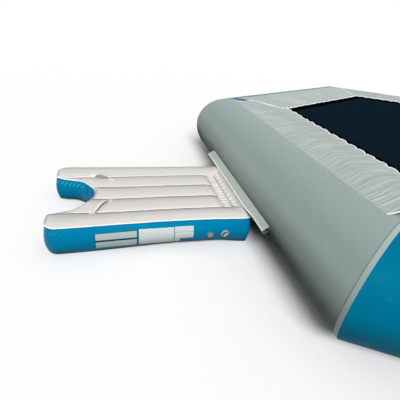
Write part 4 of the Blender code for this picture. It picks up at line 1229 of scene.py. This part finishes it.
def side_pull(x, y):
    """How far the pressure draws the seams of the long sides inward."""
    return np.interp(x, SIDE_PLACES, SIDE_PULLS) * smooth(
        (np.abs(y) - OUTER_WEB) / (HALF_WIDTH - OUTER_WEB))


def pulled(x, y):
    """Places in plan with the sides drawn in; the far lobe stands out a little."""
    lobe = 0.018 * smooth((y - 0.22) / 0.10) * smooth((TIP + 0.30 - x) / 0.30)
    return x - lobe, y - np.sign(y) * side_pull(x, y)


def seam_lift(x, y):
    """Height of the upper seam over the flat cushion: high on the sides, low in the notch."""
    size = np.abs(y)
    side = np.interp(x, SIDE_PLACES, SIDE_RISES)
    notch = 0.002 - 0.008 * bell(size - NOTCH_SHOULDER, 0.040)
    lobe = notch + (side - notch) * smooth((size - 0.31) / 0.07)
    return np.where(x < (TIP + HEEL) / 2, lobe, side * smooth((size - 0.33) / 0.05))


def foot_lift(x, y):
    """Height of the lower seam over the ground's edge: arched on the sides and in the notch."""
    size = np.abs(y)
    notch = 0.009 * smooth((0.43 - size) / 0.08) + 0.010 * bell(size - NOTCH_SHOULDER, 0.025)
    return 0.022 * rise(x) + notch * smooth((TIP + NOTCH + 0.03 - x) / 0.03)


def seam_outline():
    """The platform's seam in plan, evenly spaced, with its outward directions."""
    ease = np.sin(np.linspace(-math.pi / 2, math.pi / 2, 700))
    y = HALF_WIDTH * ease
    start, end = platform_ends(y)
    loop = np.vstack([np.stack([start, y], -1), np.stack([end, y], -1)[::-1]])
    loop = np.vstack([loop, loop[:1]])
    length = np.concatenate([[0], np.cumsum(np.linalg.norm(np.diff(loop, axis=0), axis=1))])
    even = np.arange(0, length[-1], SEAM_STEP)
    points = np.stack([np.interp(even, length, loop[:, k]) for k in (0, 1)], -1)
    run = np.roll(points, -1, 0) - np.roll(points, 1, 0)
    run /= np.linalg.norm(run, axis=1)[:, None]
    return points, np.stack([-run[:, 1], run[:, 0]], -1), even


def seam_ripple(along, seed):
    """Uneven wave along a seam, between -1 and 1."""
    return 0.55 * creases(along / 0.024, 0, seed) + 0.45 * creases(along / 0.047, 0, seed + 1)


def near_wall(x, z, shift):
    """Y of the near side wall's face at places on it; the shift places its creases."""
    line = 0 * x - HALF_WIDTH
    return pulled(x, line)[1] - wall_push(z, x + shift, x, line)


def notch_share(x, y):
    """How much a place belongs to the notch, where the skin crowds into creases."""
    return smooth((0.40 - np.abs(y)) / 0.10) * smooth((TIP + 0.42 - x) / 0.06)


def nearest_seam(x, y, outline):
    """Distance to the seam, and how far along the seam that is."""
    tree = KDTree(len(outline))
    for number, (px, py) in enumerate(outline):
        tree.insert((px, py, 0.0), number)
    tree.balance()
    found = [tree.find((px, py, 0.0))[1:] for px, py in zip(x.ravel(), y.ravel())]
    number = np.array([f[0] for f in found]).reshape(x.shape)
    distance = np.array([f[1] for f in found]).reshape(x.shape)
    return distance, number * SEAM_STEP


def deck_height(x, y, distance, along):
    """Height of the top sheet: crowned chambers with creases where they meet a seam."""
    platform = bpy.context.scene.trampoline_platform
    end = platform_ends(y)[1]
    seam = HALF_WIDTH - np.abs(y)
    inner = seam > CHAMBER - 0.0004
    stop = end - RECESS
    across = np.clip(seam / CHAMBER % 1.0, 0, 1)
    profile = np.maximum(0, 4 * across * (1 - across)) ** 0.75
    room = np.where(inner, np.minimum(distance, np.maximum(stop - x, 0)), distance)
    room = np.clip(room / platform.crown_end, 0, 1)
    fade = np.sqrt(np.maximum(0, 1 - (1 - room) ** 2))
    web = np.minimum(across, 1 - across) * CHAMBER
    valley = 0.002 * bell(web, 0.007) * smooth(distance / 0.06) * (seam > CHAMBER / 2)
    level = -0.0055 + 0.009 * rise(x)
    level = level + (seam_lift(x, y) - level) * smooth(1 - distance / 0.20)
    height = HEIGHT + level + platform.crown * profile * fade - valley
    crowd = 1 + 1.2 * notch_share(x, y)
    ripple = (seam_ripple(along, 3) * bell(distance - 0.018, 0.026)
              * np.minimum(1, distance / 0.008))
    height = height + platform.pucker * crowd * ripple
    chamber = np.floor(np.clip(seam / CHAMBER, 0, 2.999)) + 3 * (y > 0)
    side_hand = np.where(across < 0.5, 0, 7)
    pull = creases(x / 0.045, chamber + side_hand, 17) * bell(web - 0.014, 0.020)
    height = height + 0.0011 * pull * smooth(distance / 0.05) * np.minimum(1, web / 0.006)
    ends = creases((y + 0.3) / 0.030, 3, 19) * bell(stop - x - 0.018, 0.02)
    height = height + np.where(inner & (x < stop), 0.0020 * ends, 0)
    recess = np.clip(np.minimum((x - stop) / RECESS_STEP, (end - x) / RECESS_STEP), 0, 1)
    return np.where(inner & (x >= stop), HEIGHT - RECESS_STEP * recess + 0.009 * rise(x), height)


class MakeDeck(bpy.types.Operator):
    """Top sheet of the platform: five crowned chambers, and the bead round its edge"""
    bl_idname = "trampoline.deck"
    bl_label = "Platform Deck"

    def execute(self, context):
        """Make the top sheet and the bead."""
        platform = context.scene.trampoline_platform
        outline, normals, even = seam_outline()
        ease = 0.5 - 0.5 * np.cos(np.linspace(0, math.pi, 45))
        ease = 0.5 * ease + 0.5 * np.linspace(0, 1, 45)
        columns = np.concatenate([-HALF_WIDTH + CHAMBER * (c + ease[:-1]) for c in range(5)]
                                 + [[HALF_WIDTH]])
        start, end = platform_ends(columns)
        share = np.linspace(0, 1, 250)
        share = np.where(share < 0.5, 0.5 * (2 * share) ** 1.15, 1 - 0.5 * (2 - 2 * share) ** 1.15)
        x = np.vstack([start + (end - RECESS - start) * share[:, None],
                       end - RECESS * (1 - np.linspace(0, 1, 34)[1:, None])])
        y = np.broadcast_to(columns, x.shape)
        distance, along = nearest_seam(x, y, outline)
        z = deck_height(x, y, distance, along)
        # Painted light on the top sheet: shade on the back slope of each chamber and along the far
        # side and tip end, and a highlight along each chamber's front crest.
        ahead = (y + HALF_WIDTH) / CHAMBER % 1.0 * CHAMBER
        behind = np.maximum(CHAMBER - ahead - 0.037, 0)
        away = normals[np.rint(along / SEAM_STEP).astype(int) % len(normals)]
        away = np.clip(0.9 * away[..., 1] - 0.5 * away[..., 0], 0, 1)
        shade_and_soil = 0.62 * bell(behind, 0.014) + 0.46 * np.exp(-behind / 0.045)
        front = end - RECESS + 0.004
        outer = np.abs(y) > OUTER_WEB - 0.003
        shade_and_soil = np.minimum(shade_and_soil * smooth(distance / 0.04) * (outer | (x < front)), 1.0)
        shade_and_soil = np.maximum(shade_and_soil, away * bell(np.maximum(distance - 0.006, 0), 0.008))
        crest = bell(ahead, 0.013) * smooth((distance - 0.03) / 0.03)
        shade_and_soil = np.where(shade_and_soil < 0.12, -0.60 * crest * (x < front), shade_and_soil)
        skin = Skin()
        skin.grid(np.stack([*pulled(x, y), z], -1)[::-1], lay=np.stack([x, y, shade_and_soil], -1)[::-1])
        skin.rest("deck_sheet", "White Deck", "platform", "white_pvc", "platform_top",
                  sharp=math.radians(75))
        skin = Skin()
        x, y = outline.T
        line = np.stack(pulled(x, y), -1) + normals * 0.0022
        height = HEIGHT - 0.0006 + seam_lift(x, y) + 0.0010 * seam_ripple(even, 3)
        points = sweep(np.column_stack([line, height]), circle(platform.welt, 12, 0.85),
                       closed=True)
        lay = np.zeros(points.shape)
        # Painted shade on the bead along the far side and the tip end.
        lay[..., 2] = np.clip(1.3 * (0.9 * normals[:, 1] - 0.6 * normals[:, 0]), 0, 1)[:, None]
        skin.hoop(points, lay)
        skin.rest("deck_bead", "White Bead", "platform", "white_pvc")
        return {"FINISHED"}


def wall_edges(x, y):
    """Lowest and highest edge of the side wall."""
    return 0.0105 + foot_lift(x, y), 0.2379 + seam_lift(x, y)


def strokes(share, along, x, y):
    """Short slanting wrinkles below the bead, in the notch and on the near lobe's corner."""
    corner = smooth((np.abs(y) - 0.40) / 0.05) * smooth((TIP + 0.24 - x) / 0.10)
    where = notch_share(x, y) * smooth((np.abs(y) - 0.17) / 0.05) + 0.30 * corner
    phase = along / 0.037 - 4.5 * (1 - share) + 0.5 * creases(along / 0.11, 0, 29)
    run = np.maximum(0, np.cos(2 * math.pi * phase)) ** 2.5
    return np.clip(where, 0, 1) * run * bell(1 - share - 0.19, 0.085)


def wall_push(height, along, x, y):
    """How far the side wall stands out, creased beside its seams and round the notch."""
    platform = bpy.context.scene.trampoline_platform
    low, high = wall_edges(x, y)
    share = np.clip((height - low) / (high - low), 0, 1)
    crowd = notch_share(x, y)
    tip = smooth((TIP + 0.13 - x) / 0.11) * (1 - crowd)
    belly = np.sin(math.pi * share ** (1 - 0.24 * tip))
    reach = platform.bulge + side_pull(x, y) - (0.010 + 0.012 * smooth((y - 0.2) / 0.1)) * tip
    reach = reach - 0.024 * smooth((x - HEEL + 0.004) / 0.016)
    push = reach * belly ** 0.85
    corner = smooth((np.abs(y) - 0.44) / 0.05) * smooth((TIP + 0.22 - x) / 0.10)
    fold = seam_ripple(along, 3) * bell(1 - share - 0.10, 0.13)
    fold = fold + seam_ripple(along, 13) * bell(share - 0.10, 0.13)
    push = push + (0.0014 + 0.0030 * crowd + 0.0034 * corner) * fold * belly ** 0.3
    long_fold = creases(along / 0.036, share * 1.4, 23)
    return push + 0.0075 * strokes(share, along, x, y) + 0.0022 * crowd * long_fold * belly


class MakeWall(bpy.types.Operator):
    """Side wall of the platform, with its joint tapes"""
    bl_idname = "trampoline.wall"
    bl_label = "Platform Wall"

    def execute(self, context):
        """Make the side wall."""
        outline, normals, even = seam_outline()
        low, high = wall_edges(*outline.T)
        shares = np.linspace(0, 1, 56)[:, None]
        heights = low + (high - low) * shares
        along = even[None, :] + 0 * heights
        x = np.broadcast_to(outline[:, 0], along.shape)
        y = np.broadcast_to(outline[:, 1], along.shape)
        push = wall_push(heights, along, x, y)
        px, py = pulled(x, y)
        points = np.stack([px + normals[:, 0] * push, py + normals[:, 1] * push, heights],
                          -1)
        # Painted shade towards the wall's foot, along the foot and just under the top bead; the
        # strokes taken off paint highlights on the wrinkles.
        shade_and_soil = 0.55 * smooth((0.45 - shares) / 0.45) + 0.45 * bell(shares, 0.07)
        shade_and_soil = np.maximum(shade_and_soil, 0.75 * bell(1 - shares, 0.035)) + 0 * heights
        shade_and_soil = shade_and_soil - 1.1 * strokes(shares + 0 * along, along, x, y)
        skin = Skin()
        skin.grid(points[::-1], round_columns=True,
                  lay=np.stack([along, points[..., 2], shade_and_soil], -1)[::-1])
        skin.rest("wall_sheet", "Teal Wall", "platform", "teal_wall_pvc", "platform_side_wall")
        skin = Skin()
        for target in ((-3.47, 0.20), (-2.30, 0.535)):
            place = int(np.argmin(np.linalg.norm(outline - np.array(target), axis=1)))
            picks = (np.arange(place - 4, place + 5)) % len(outline)
            out = np.column_stack([normals[picks], np.zeros(len(picks))])
            part = points[:, picks] + out[None] * 0.0011
            part[:, 0] = points[:, picks[0]]
            part[:, -1] = points[:, picks[-1]]
            tint = np.zeros(part.shape)
            tint[:, (0, 1, -2, -1), 2] = 0.8
            # The tapes are darker along their edges and carry the wall's painted shade and
            # highlights.
            tint[..., 2] = np.maximum(tint[..., 2], shade_and_soil[:, picks])
            skin.grid(part[::-1], lay=tint[::-1])
        skin.rest("wall_joint_tapes", "Teal Wall", "platform", "teal_wall_pvc")
        return {"FINISHED"}


class MakeBottom(bpy.types.Operator):
    """Bottom sheet of the platform, rolled up to the wall, and the webs inside"""
    bl_idname = "trampoline.bottom"
    bl_label = "Platform Bottom"

    def execute(self, context):
        """Make the bottom sheet and finish the webs."""
        outline, normals, _ = seam_outline()
        columns = np.linspace(-HALF_WIDTH, HALF_WIDTH, 151)
        start, end = platform_ends(columns)
        x = start + (end - start) * np.linspace(0, 1, 180)[:, None]
        y = np.broadcast_to(columns, x.shape)
        distance, along = nearest_seam(x, y, outline)
        seam = (HALF_WIDTH - np.abs(y)) / CHAMBER % 1.0
        web = np.minimum(seam, 1 - seam) * CHAMBER
        reach = np.clip(distance / 0.045, 0, 1)
        z = 0.0098 * (1 - np.sqrt(np.maximum(0, 1 - (1 - reach) ** 2)))
        valley = 0.0001 * bell(web, 0.010) * smooth(distance / 0.06)
        z = z + valley + 0.0008 * (1 + seam_ripple(along, 13)) * np.exp(-distance / 0.03)
        z = z + foot_lift(x, y) * bell(distance, 0.12)
        # The bottom sheet is darker all over, and more so along the webs.
        shade_and_soil = 0.25 + 0.2 * bell(web, 0.02)
        skin = Skin()
        skin.grid(np.stack([*pulled(x, y), z], -1), lay=np.stack([x, y, shade_and_soil], -1))
        skin.rest("bottom_sheet", "White Deck", "platform", "white_pvc", "platform_bottom")
        skin = Skin()
        line = np.stack(pulled(*outline.T), -1) + normals * 0.001
        path = np.column_stack([line, wall_edges(*outline.T)[0]])
        skin.hoop(sweep(path, circle(0.0030, 10), closed=True))
        skin.rest("bottom_bead", "Dark Teal", "platform", "teal_wall_pvc")
        for number in range(1, 5):
            dress(f"platform_web_{number}", "White Deck")
        return {"FINISHED"}


class MakeHingePanel(bpy.types.Operator):
    """Quilted flexible panel between the platform and its carrier lip"""
    bl_idname = "trampoline.hinge_panel"
    bl_label = "Hinge Panel"

    def execute(self, context):
        """Make the panel, its border and its bead."""
        outer = HEEL - RECESS + 2 * RECESS_STEP
        line = through([(outer, 0.2352), (-2.262, 0.2372), (-2.228, 0.2455), (-2.200, 0.2640),
                        (-2.182, 0.2800), (-2.170, 0.2885), (-2.150, 0.2905), (-2.1230, 0.2862)], 8)
        length = np.concatenate([[0], np.cumsum(np.linalg.norm(np.diff(line, axis=0), axis=1))])
        steps = np.linspace(0, length[-1], 150)
        x, z = [np.interp(steps, length, line[:, k])[:, None] for k in (0, 1)]
        ends = PANEL_HALF + 0.092 * smooth((x + 2.258) / 0.080)
        y = np.linspace(-1, 1, 360)[None, :] * ends
        x, deep = x + 0 * y, (steps - 0.006)[:, None] + 0 * y
        puff, band = np.zeros(x.shape), np.zeros(x.shape)
        for begin, width, pitch, seed, blunt in ((0.0, 0.073, 0.050, 3, 2.0),
                                                 (0.080, 0.050, 0.070, 4, 3.4)):
            across = (deep - begin) / width
            number = (y + 0.35) / pitch + 0.18 * creases(y / 0.09, seed, seed)
            inside = (across > 0) & (across < 1)
            bump = ((1 - np.abs(2 * np.clip(across, 0, 1) - 1) ** 4)
                    * (1 - np.abs(2 * (number % 1.0) - 1) ** blunt))
            bump = bump * (0.78 + 0.22 * creases(np.floor(number), seed, seed))
            puff = np.where(inside, np.maximum(puff, bump), puff)
            band = np.where(inside, 1.0, band)
        close = np.minimum(1, (ends - np.abs(y)) / 0.012)
        height = z + 0.0130 * puff ** 0.9 * close
        loose = smooth((deep - 0.132) / 0.012)
        height += 0.0045 * np.abs(creases((y + 1.4 * deep) / 0.020, deep / 0.09, 9)) * loose * close
        height -= 0.006 * (1 - close) ** 2 * smooth((x + 2.235) / 0.04)
        deck = deck_height(x, y, *nearest_seam(x, y, seam_outline()[0]))
        height = np.where(np.abs(y) > 0.3205, np.maximum(height, deck + 0.0015 + 0.0030 * close),
                          height)
        # Painted shade in the hollows between the puffs and along the edge of the second band, and
        # a dark line on the seam between the bands.
        shade_and_soil = 0.56 * band * (1 - np.minimum(1, 1.8 * puff)) + 0.6 * bell(deep - 0.0765, 0.004)
        shade_and_soil = np.clip(shade_and_soil + 0.5 * bell(deep - 0.133, 0.004), 0, 1)
        bridge = ("ring", "platform", (PIVOT[0] + 0.016, 0.0, PIVOT[2]),
                  (PIVOT[0] - 0.016, 0.0, PIVOT[2]))
        skin = Skin()
        skin.grid(np.stack([x, y, height], -1), lay=np.stack([x, y, shade_and_soil], -1))
        panel = skin.bend("quilted_panel", "Panel Cloth", bridge, "panel_cloth", "hinge_panel")
        skin = Skin()
        line = np.linspace(-PANEL_HALF, PANEL_HALF, 160)
        path = np.stack([0 * line + outer + 0.004, line, 0 * line + 0.2360], -1)
        skin.tube(sweep(path, circle(0.0036, 12, 0.6)))
        border = skin.rest("panel_border", "Panel Cloth", "platform", "panel_cloth")
        skin = Skin()
        line = np.linspace(-0.409, 0.409, 190)
        path = np.stack([0 * line - 2.1725, line, 0.2915 + 0.0010 * creases(line / 0.03, 0, 33)],
                        -1)
        skin.tube(sweep(path, circle(0.0042, 12)))
        bead = skin.bend("panel_bead", "White Bead", bridge, "panel_cloth")
        return {"FINISHED"}


class MakePlatformValves(bpy.types.Operator):
    """Filling valve with its cap, and the relief valve, on the platform's wall"""
    bl_idname = "trampoline.platform_valves"
    bl_label = "Platform Valves"

    def execute(self, context):
        """Make the platform's valves."""
        fill, relief = (-2.37328, -0.565, 0.1297), (-2.50528, -0.565, 0.1297)
        turns = around(72)
        skin = Skin()
        for (x, _, z), radius in ((fill, 0.044), (relief, 0.036)):
            rows = []
            for share, lift in ((0.5, 0.0012), (0.96, 0.0012), (1.0, 0.0007), (1.0, -0.0012)):
                px, pz = x + radius * share * np.cos(turns), z + radius * share * np.sin(turns)
                rows.append(np.stack([px, near_wall(px, pz, 3.0) - lift, pz], -1))
            skin.lid(rows)
        skin.rest("wall_valve_patches", "Teal Wall", "platform", "teal_wall_pvc")
        valve_set("platform", fill, relief, (0.0, -1.0, 0.0), (1, 0, 0), 0.034, 0.0285)
        return {"FINISHED"}


class MakeLabels(bpy.types.Operator):
    """Blank label panels welded on the platform's near wall"""
    bl_idname = "trampoline.labels"
    bl_label = "Label Panels"

    def execute(self, context):
        """Make the label panels."""
        u, v = np.meshgrid(np.linspace(-1, 1, 48), np.linspace(-1, 1, 36))
        ease, radius = (u + 1) / 2, 0.004
        rim = np.minimum(1 - np.abs(u), 1 - np.abs(v)) < 0.001
        for name, (left, right), low, high, lift, colour in (
                ("backing_left", (-3.429, -3.099), (0.048, 0.056), (0.198, 0.207), 0.0010,
                 "Dark Teal"),
                ("left_upper", (-3.424, -3.104), (0.139, 0.149), (0.192, 0.201), 0.0022,
                 "Pale Green Label"),
                ("left_lower", (-3.424, -3.104), (0.054, 0.062), (0.123, 0.134), 0.0022,
                 "Pale Green Label"),
                ("middle", (-3.093, -2.809), (0.058, 0.060), (0.210, 0.212), 0.0022,
                 "Blank Label"),
                ("middle_foot", (-2.8075, -2.757), (0.060, 0.061), (0.104, 0.105), 0.0022,
                 "Blank Label"),
                ("right_upper", (-2.8065, -2.648), (0.1725, 0.1725), (0.214, 0.214), 0.0022,
                 "Blank Label"),
                ("right_lower", (-2.8065, -2.648), (0.108, 0.108), (0.1705, 0.1705), 0.0022,
                 "Blank Label")):
            skin = Skin()
            bottom, top = low[0] + (low[1] - low[0]) * ease, high[0] + (high[1] - high[0]) * ease
            tall = (high[0] - low[0]) / 2
            inset = np.maximum(0, np.abs(v) * tall - (tall - radius))
            shrink = radius - np.sqrt(np.maximum(radius ** 2 - inset ** 2, 0))
            x = (left + right) / 2 + u * ((right - left) / 2 - shrink)
            z = (bottom + top) / 2 + v * (top - bottom) / 2
            skin.grid(np.stack([x, near_wall(x, z, 3.9) - np.where(rim, -0.0008, lift), z], -1))
            skin.rest(f"label_{name}", colour, "platform", "teal_wall_pvc")
        return {"FINISHED"}


class MakeHandles(bpy.types.Operator):
    """Webbing handles on the deck, and the patches that hold them"""
    bl_idname = "trampoline.handles"
    bl_label = "Handles"

    def execute(self, context):
        """Make the handles and their patches."""
        outline, _, _ = seam_outline()
        share = np.linspace(0, 1, 61)
        arch = np.sin(math.pi * share)
        widths = 0.45 + 0.75 * np.minimum(1, arch / 0.5)
        strap = np.array([(-0.0125, -0.0004), (-0.0130, 0.0010), (-0.0115, 0.0022),
                          (0.0115, 0.0022), (0.0130, 0.0010), (0.0125, -0.0004)])
        under = strap * np.array((0.80, 1.0)) - np.array((0.0, 0.0030))
        u, v = np.meshgrid(np.linspace(-1, 1, 25), np.linspace(-1, 1, 21))
        rim = np.minimum(1 - np.abs(u), 1 - np.abs(v)) < 0.001
        u = u * (1 - 0.12 * (np.maximum(0, np.abs(v) - 0.75) / 0.25) ** 2)
        patches = Skin()
        for hand, places in (("near", ((-3.4339, -0.3500), (-3.3213, -0.1950))),
                             ("far", ((-3.4500, 0.3260), (-3.3080, 0.2220)))):
            feet = []
            for place in places:
                spot = np.array(place)[:, None]
                level = deck_height(*spot, *nearest_seam(*spot, outline))[0] + 0.0052
                feet.append(np.array((*place, level)))
            run = (feet[1] - feet[0]) / np.linalg.norm(feet[1] - feet[0])
            path = feet[0] + (feet[1] - feet[0]) * share[:, None]
            path[:, 2] += 0.036 * arch ** 0.7
            # The second strap is a dark layer under the pale one: painted shade beneath the handle.
            for label, section, colour in (("strap", strap, "Handle Webbing"),
                                           ("shade_lining", under, "Handle Underside")):
                strip = sweep(path, section, widths=widths)
                for foot, half in enumerate(("left", "right")):
                    skin = Skin()
                    skin.tube(strip[30:] if foot else strip[:31])
                    toward = (feet[1 - foot] - feet[foot]) * 0.45
                    bridge = ("platform", f"{hand}_handle", tuple(feet[foot] + 0.1 * toward),
                              tuple(feet[foot] + toward))
                    nodes = [f"handle_{hand}"] if label == "strap" and not foot else []
                    skin.bend(f"{hand}_handle_{label}_{half}", colour, bridge, "handle_webbing",
                              *nodes)
            side = np.array((-run[1], run[0]))
            for foot, way in zip(feet, (-1, 1)):
                flat = (foot[:2] + way * run[:2] * 0.016 + u[..., None] * run[:2] * 0.034
                        + v[..., None] * side * 0.0205)
                x, y = flat[..., 0], flat[..., 1]
                z = deck_height(x, y, *nearest_seam(x, y, outline))
                patches.grid(np.stack([x, y, z + np.where(rim, -0.0006, 0.0022)], -1))
        patches.rest("handle_patches", "White Patch", "platform", "white_pvc")
        return {"FINISHED"}


def seen_ray(tree):
    """1 for rays that the camera sees, also by a mirror or through glass, and 0 for others."""
    path = feed(tree, "ShaderNodeLightPath").outputs
    seen = maths(tree, "MAXIMUM", path["Is Camera Ray"], path["Is Glossy Ray"])
    return maths(tree, "MAXIMUM", seen, path["Is Transmission Ray"])


class MakeStage(bpy.types.Operator):
    """Plain pale floor, soft light and the camera"""
    bl_idname = "trampoline.stage"
    bl_label = "Stage"

    def execute(self, context):
        """Make the floor, light and camera."""
        stage = context.scene.trampoline_stage
        self.floor(stage)
        self.light(context.scene, stage)
        lens = bpy.data.cameras.new("Photo Lens")
        lens.lens, lens.sensor_width = stage.lens, 36.0
        camera = bpy.data.objects.new("photo_camera", lens)
        forward = Vector((0.2507, 0.8303, -0.4978)).normalized()
        right = Vector((0.9675, -0.2329, 0.0988))
        right = (right - forward * right.dot(forward)).normalized()
        turn = Matrix((right, right.cross(forward), -forward)).transposed().to_4x4()
        camera.matrix_world = Matrix.Translation((-3.2367, -2.583, 1.681)) @ turn
        context.scene.collection.objects.link(camera)
        context.scene.camera = camera
        context.scene.view_settings.view_transform = "Standard"
        return {"FINISHED"}

    def floor(self, stage):
        """Make the floor, which fades into plain white far away."""
        tree, shader, bump = blank_material("Pale Floor")
        seen, place = seen_ray(tree), object_place(tree)
        speck = spread(tree, grain(tree, place, 60.0), 0.2, 0.8, 0.985, 1.0)
        colour = blend_colours(tree, seen, (0.15, 0.15, 0.15, 1.0),
                               shaded(tree, tuple(stage.floor), speck))
        tree.links.new(colour, shader.inputs["Base Color"])
        shader.inputs["Roughness"].default_value = 0.9
        shader.inputs["Specular IOR Level"].default_value = 0.0
        tree.links.new(product(tree, grain(tree, place, 60.0), 0.0002), bump.inputs["Height"])
        white = feed(tree, "ShaderNodeEmission", {"Color": (1, 1, 1, 1), "Strength": 1.0})
        reach = feed(tree, "ShaderNodeVectorMath", {0: place}, operation="LENGTH")
        far = product(tree, spread(tree, reach.outputs["Value"], 5.5, 12.0), seen)
        mix = feed(tree, "ShaderNodeMixShader", {0: far, 1: shader.outputs[0], 2: white.outputs[0]})
        output = [n for n in tree.nodes if n.type == "OUTPUT_MATERIAL"][0]
        tree.links.new(mix.outputs[0], output.inputs["Surface"])
        skin, turns = Skin(), around(96)
        rows = [np.stack([r * np.cos(turns), r * np.sin(turns), 0 * turns - 0.0005], -1)
                for r in (0.5, 2, 6, 12, 40, 200)]
        skin.lid(rows)
        skin.build("pale_floor", "Pale Floor")

    def light(self, scene, stage):
        """Make the plain sky and the broad sun."""
        world = bpy.data.worlds.new("Plain Sky")
        scene.world = world
        world.use_nodes = True
        tree = world.node_tree
        strength = total(tree, product(tree, seen_ray(tree), 1.0 - stage.sky), stage.sky)
        back = tree.nodes["Background"]
        back.inputs["Color"].default_value = (1, 1, 1, 1)
        tree.links.new(strength, back.inputs["Strength"])
        lamp = bpy.data.lights.new("Broad Sun", "SUN")
        lamp.energy, lamp.angle = stage.sun, math.radians(28)
        sun = bpy.data.objects.new("broad_sun", lamp)
        sun.rotation_euler = Vector((0.16, 1.02, -0.96)).to_track_quat("-Z", "Y").to_euler()
        scene.collection.objects.link(sun)


PIECES = (MakeTubes, MakeSeamTapes, MakeFrame, MakeCords, MakeMat, MakeCovers, MakeRingValves,
          MakeMoorings, MakeStrips, MakeDeck, MakeWall, MakeBottom, MakeHingePanel,
          MakePlatformValves, MakeLabels, MakeHandles, MakeStage)
SETTINGS = {"trampoline_ring": RingSettings, "trampoline_bed": BedSettings,
            "trampoline_cover": CoverSettings, "trampoline_platform": PlatformSettings,
            "trampoline_stage": StageSettings}


class TrampolinePanel(bpy.types.Panel):
    """Sidebar panel that lists the pieces and their sizes"""
    bl_idname = "VIEW3D_PT_trampoline"
    bl_label = "Water Trampoline"
    bl_space_type = "VIEW_3D"
    bl_region_type = "UI"
    bl_category = "Trampoline"

    def draw(self, context):
        """List the pieces, then the sizes."""
        for operator in PIECES:
            self.layout.operator(operator.bl_idname)
        for name, group in SETTINGS.items():
            box = self.layout.box()
            for key in group.__annotations__:
                box.prop(getattr(context.scene, name), key)


def register():
    """Register the settings, operators and panel."""
    for name, group in SETTINGS.items():
        bpy.utils.register_class(group)
        setattr(bpy.types.Scene, name, PointerProperty(type=group))
    for operator in PIECES:
        bpy.utils.register_class(operator)
    bpy.utils.register_class(TrampolinePanel)


def unregister():
    """Remove the settings, operators and panel."""
    bpy.utils.unregister_class(TrampolinePanel)
    for operator in reversed(PIECES):
        bpy.utils.unregister_class(operator)
    for name, group in SETTINGS.items():
        delattr(bpy.types.Scene, name)
        bpy.utils.unregister_class(group)


def main():
    """Make every piece in order."""
    register()
    make_materials()
    bpy.ops.trampoline.tubes()
    bpy.ops.trampoline.seam_tapes()
    bpy.ops.trampoline.frame()
    bpy.ops.trampoline.cords()
    bpy.ops.trampoline.mat()
    bpy.ops.trampoline.covers()
    bpy.ops.trampoline.ring_valves()
    bpy.ops.trampoline.moorings()
    bpy.ops.trampoline.strips()
    bpy.ops.trampoline.deck()
    bpy.ops.trampoline.wall()
    bpy.ops.trampoline.bottom()
    bpy.ops.trampoline.hinge_panel()
    bpy.ops.trampoline.platform_valves()
    bpy.ops.trampoline.labels()
    bpy.ops.trampoline.handles()
    bpy.ops.trampoline.stage()


if __name__ == "__main__":
    main()
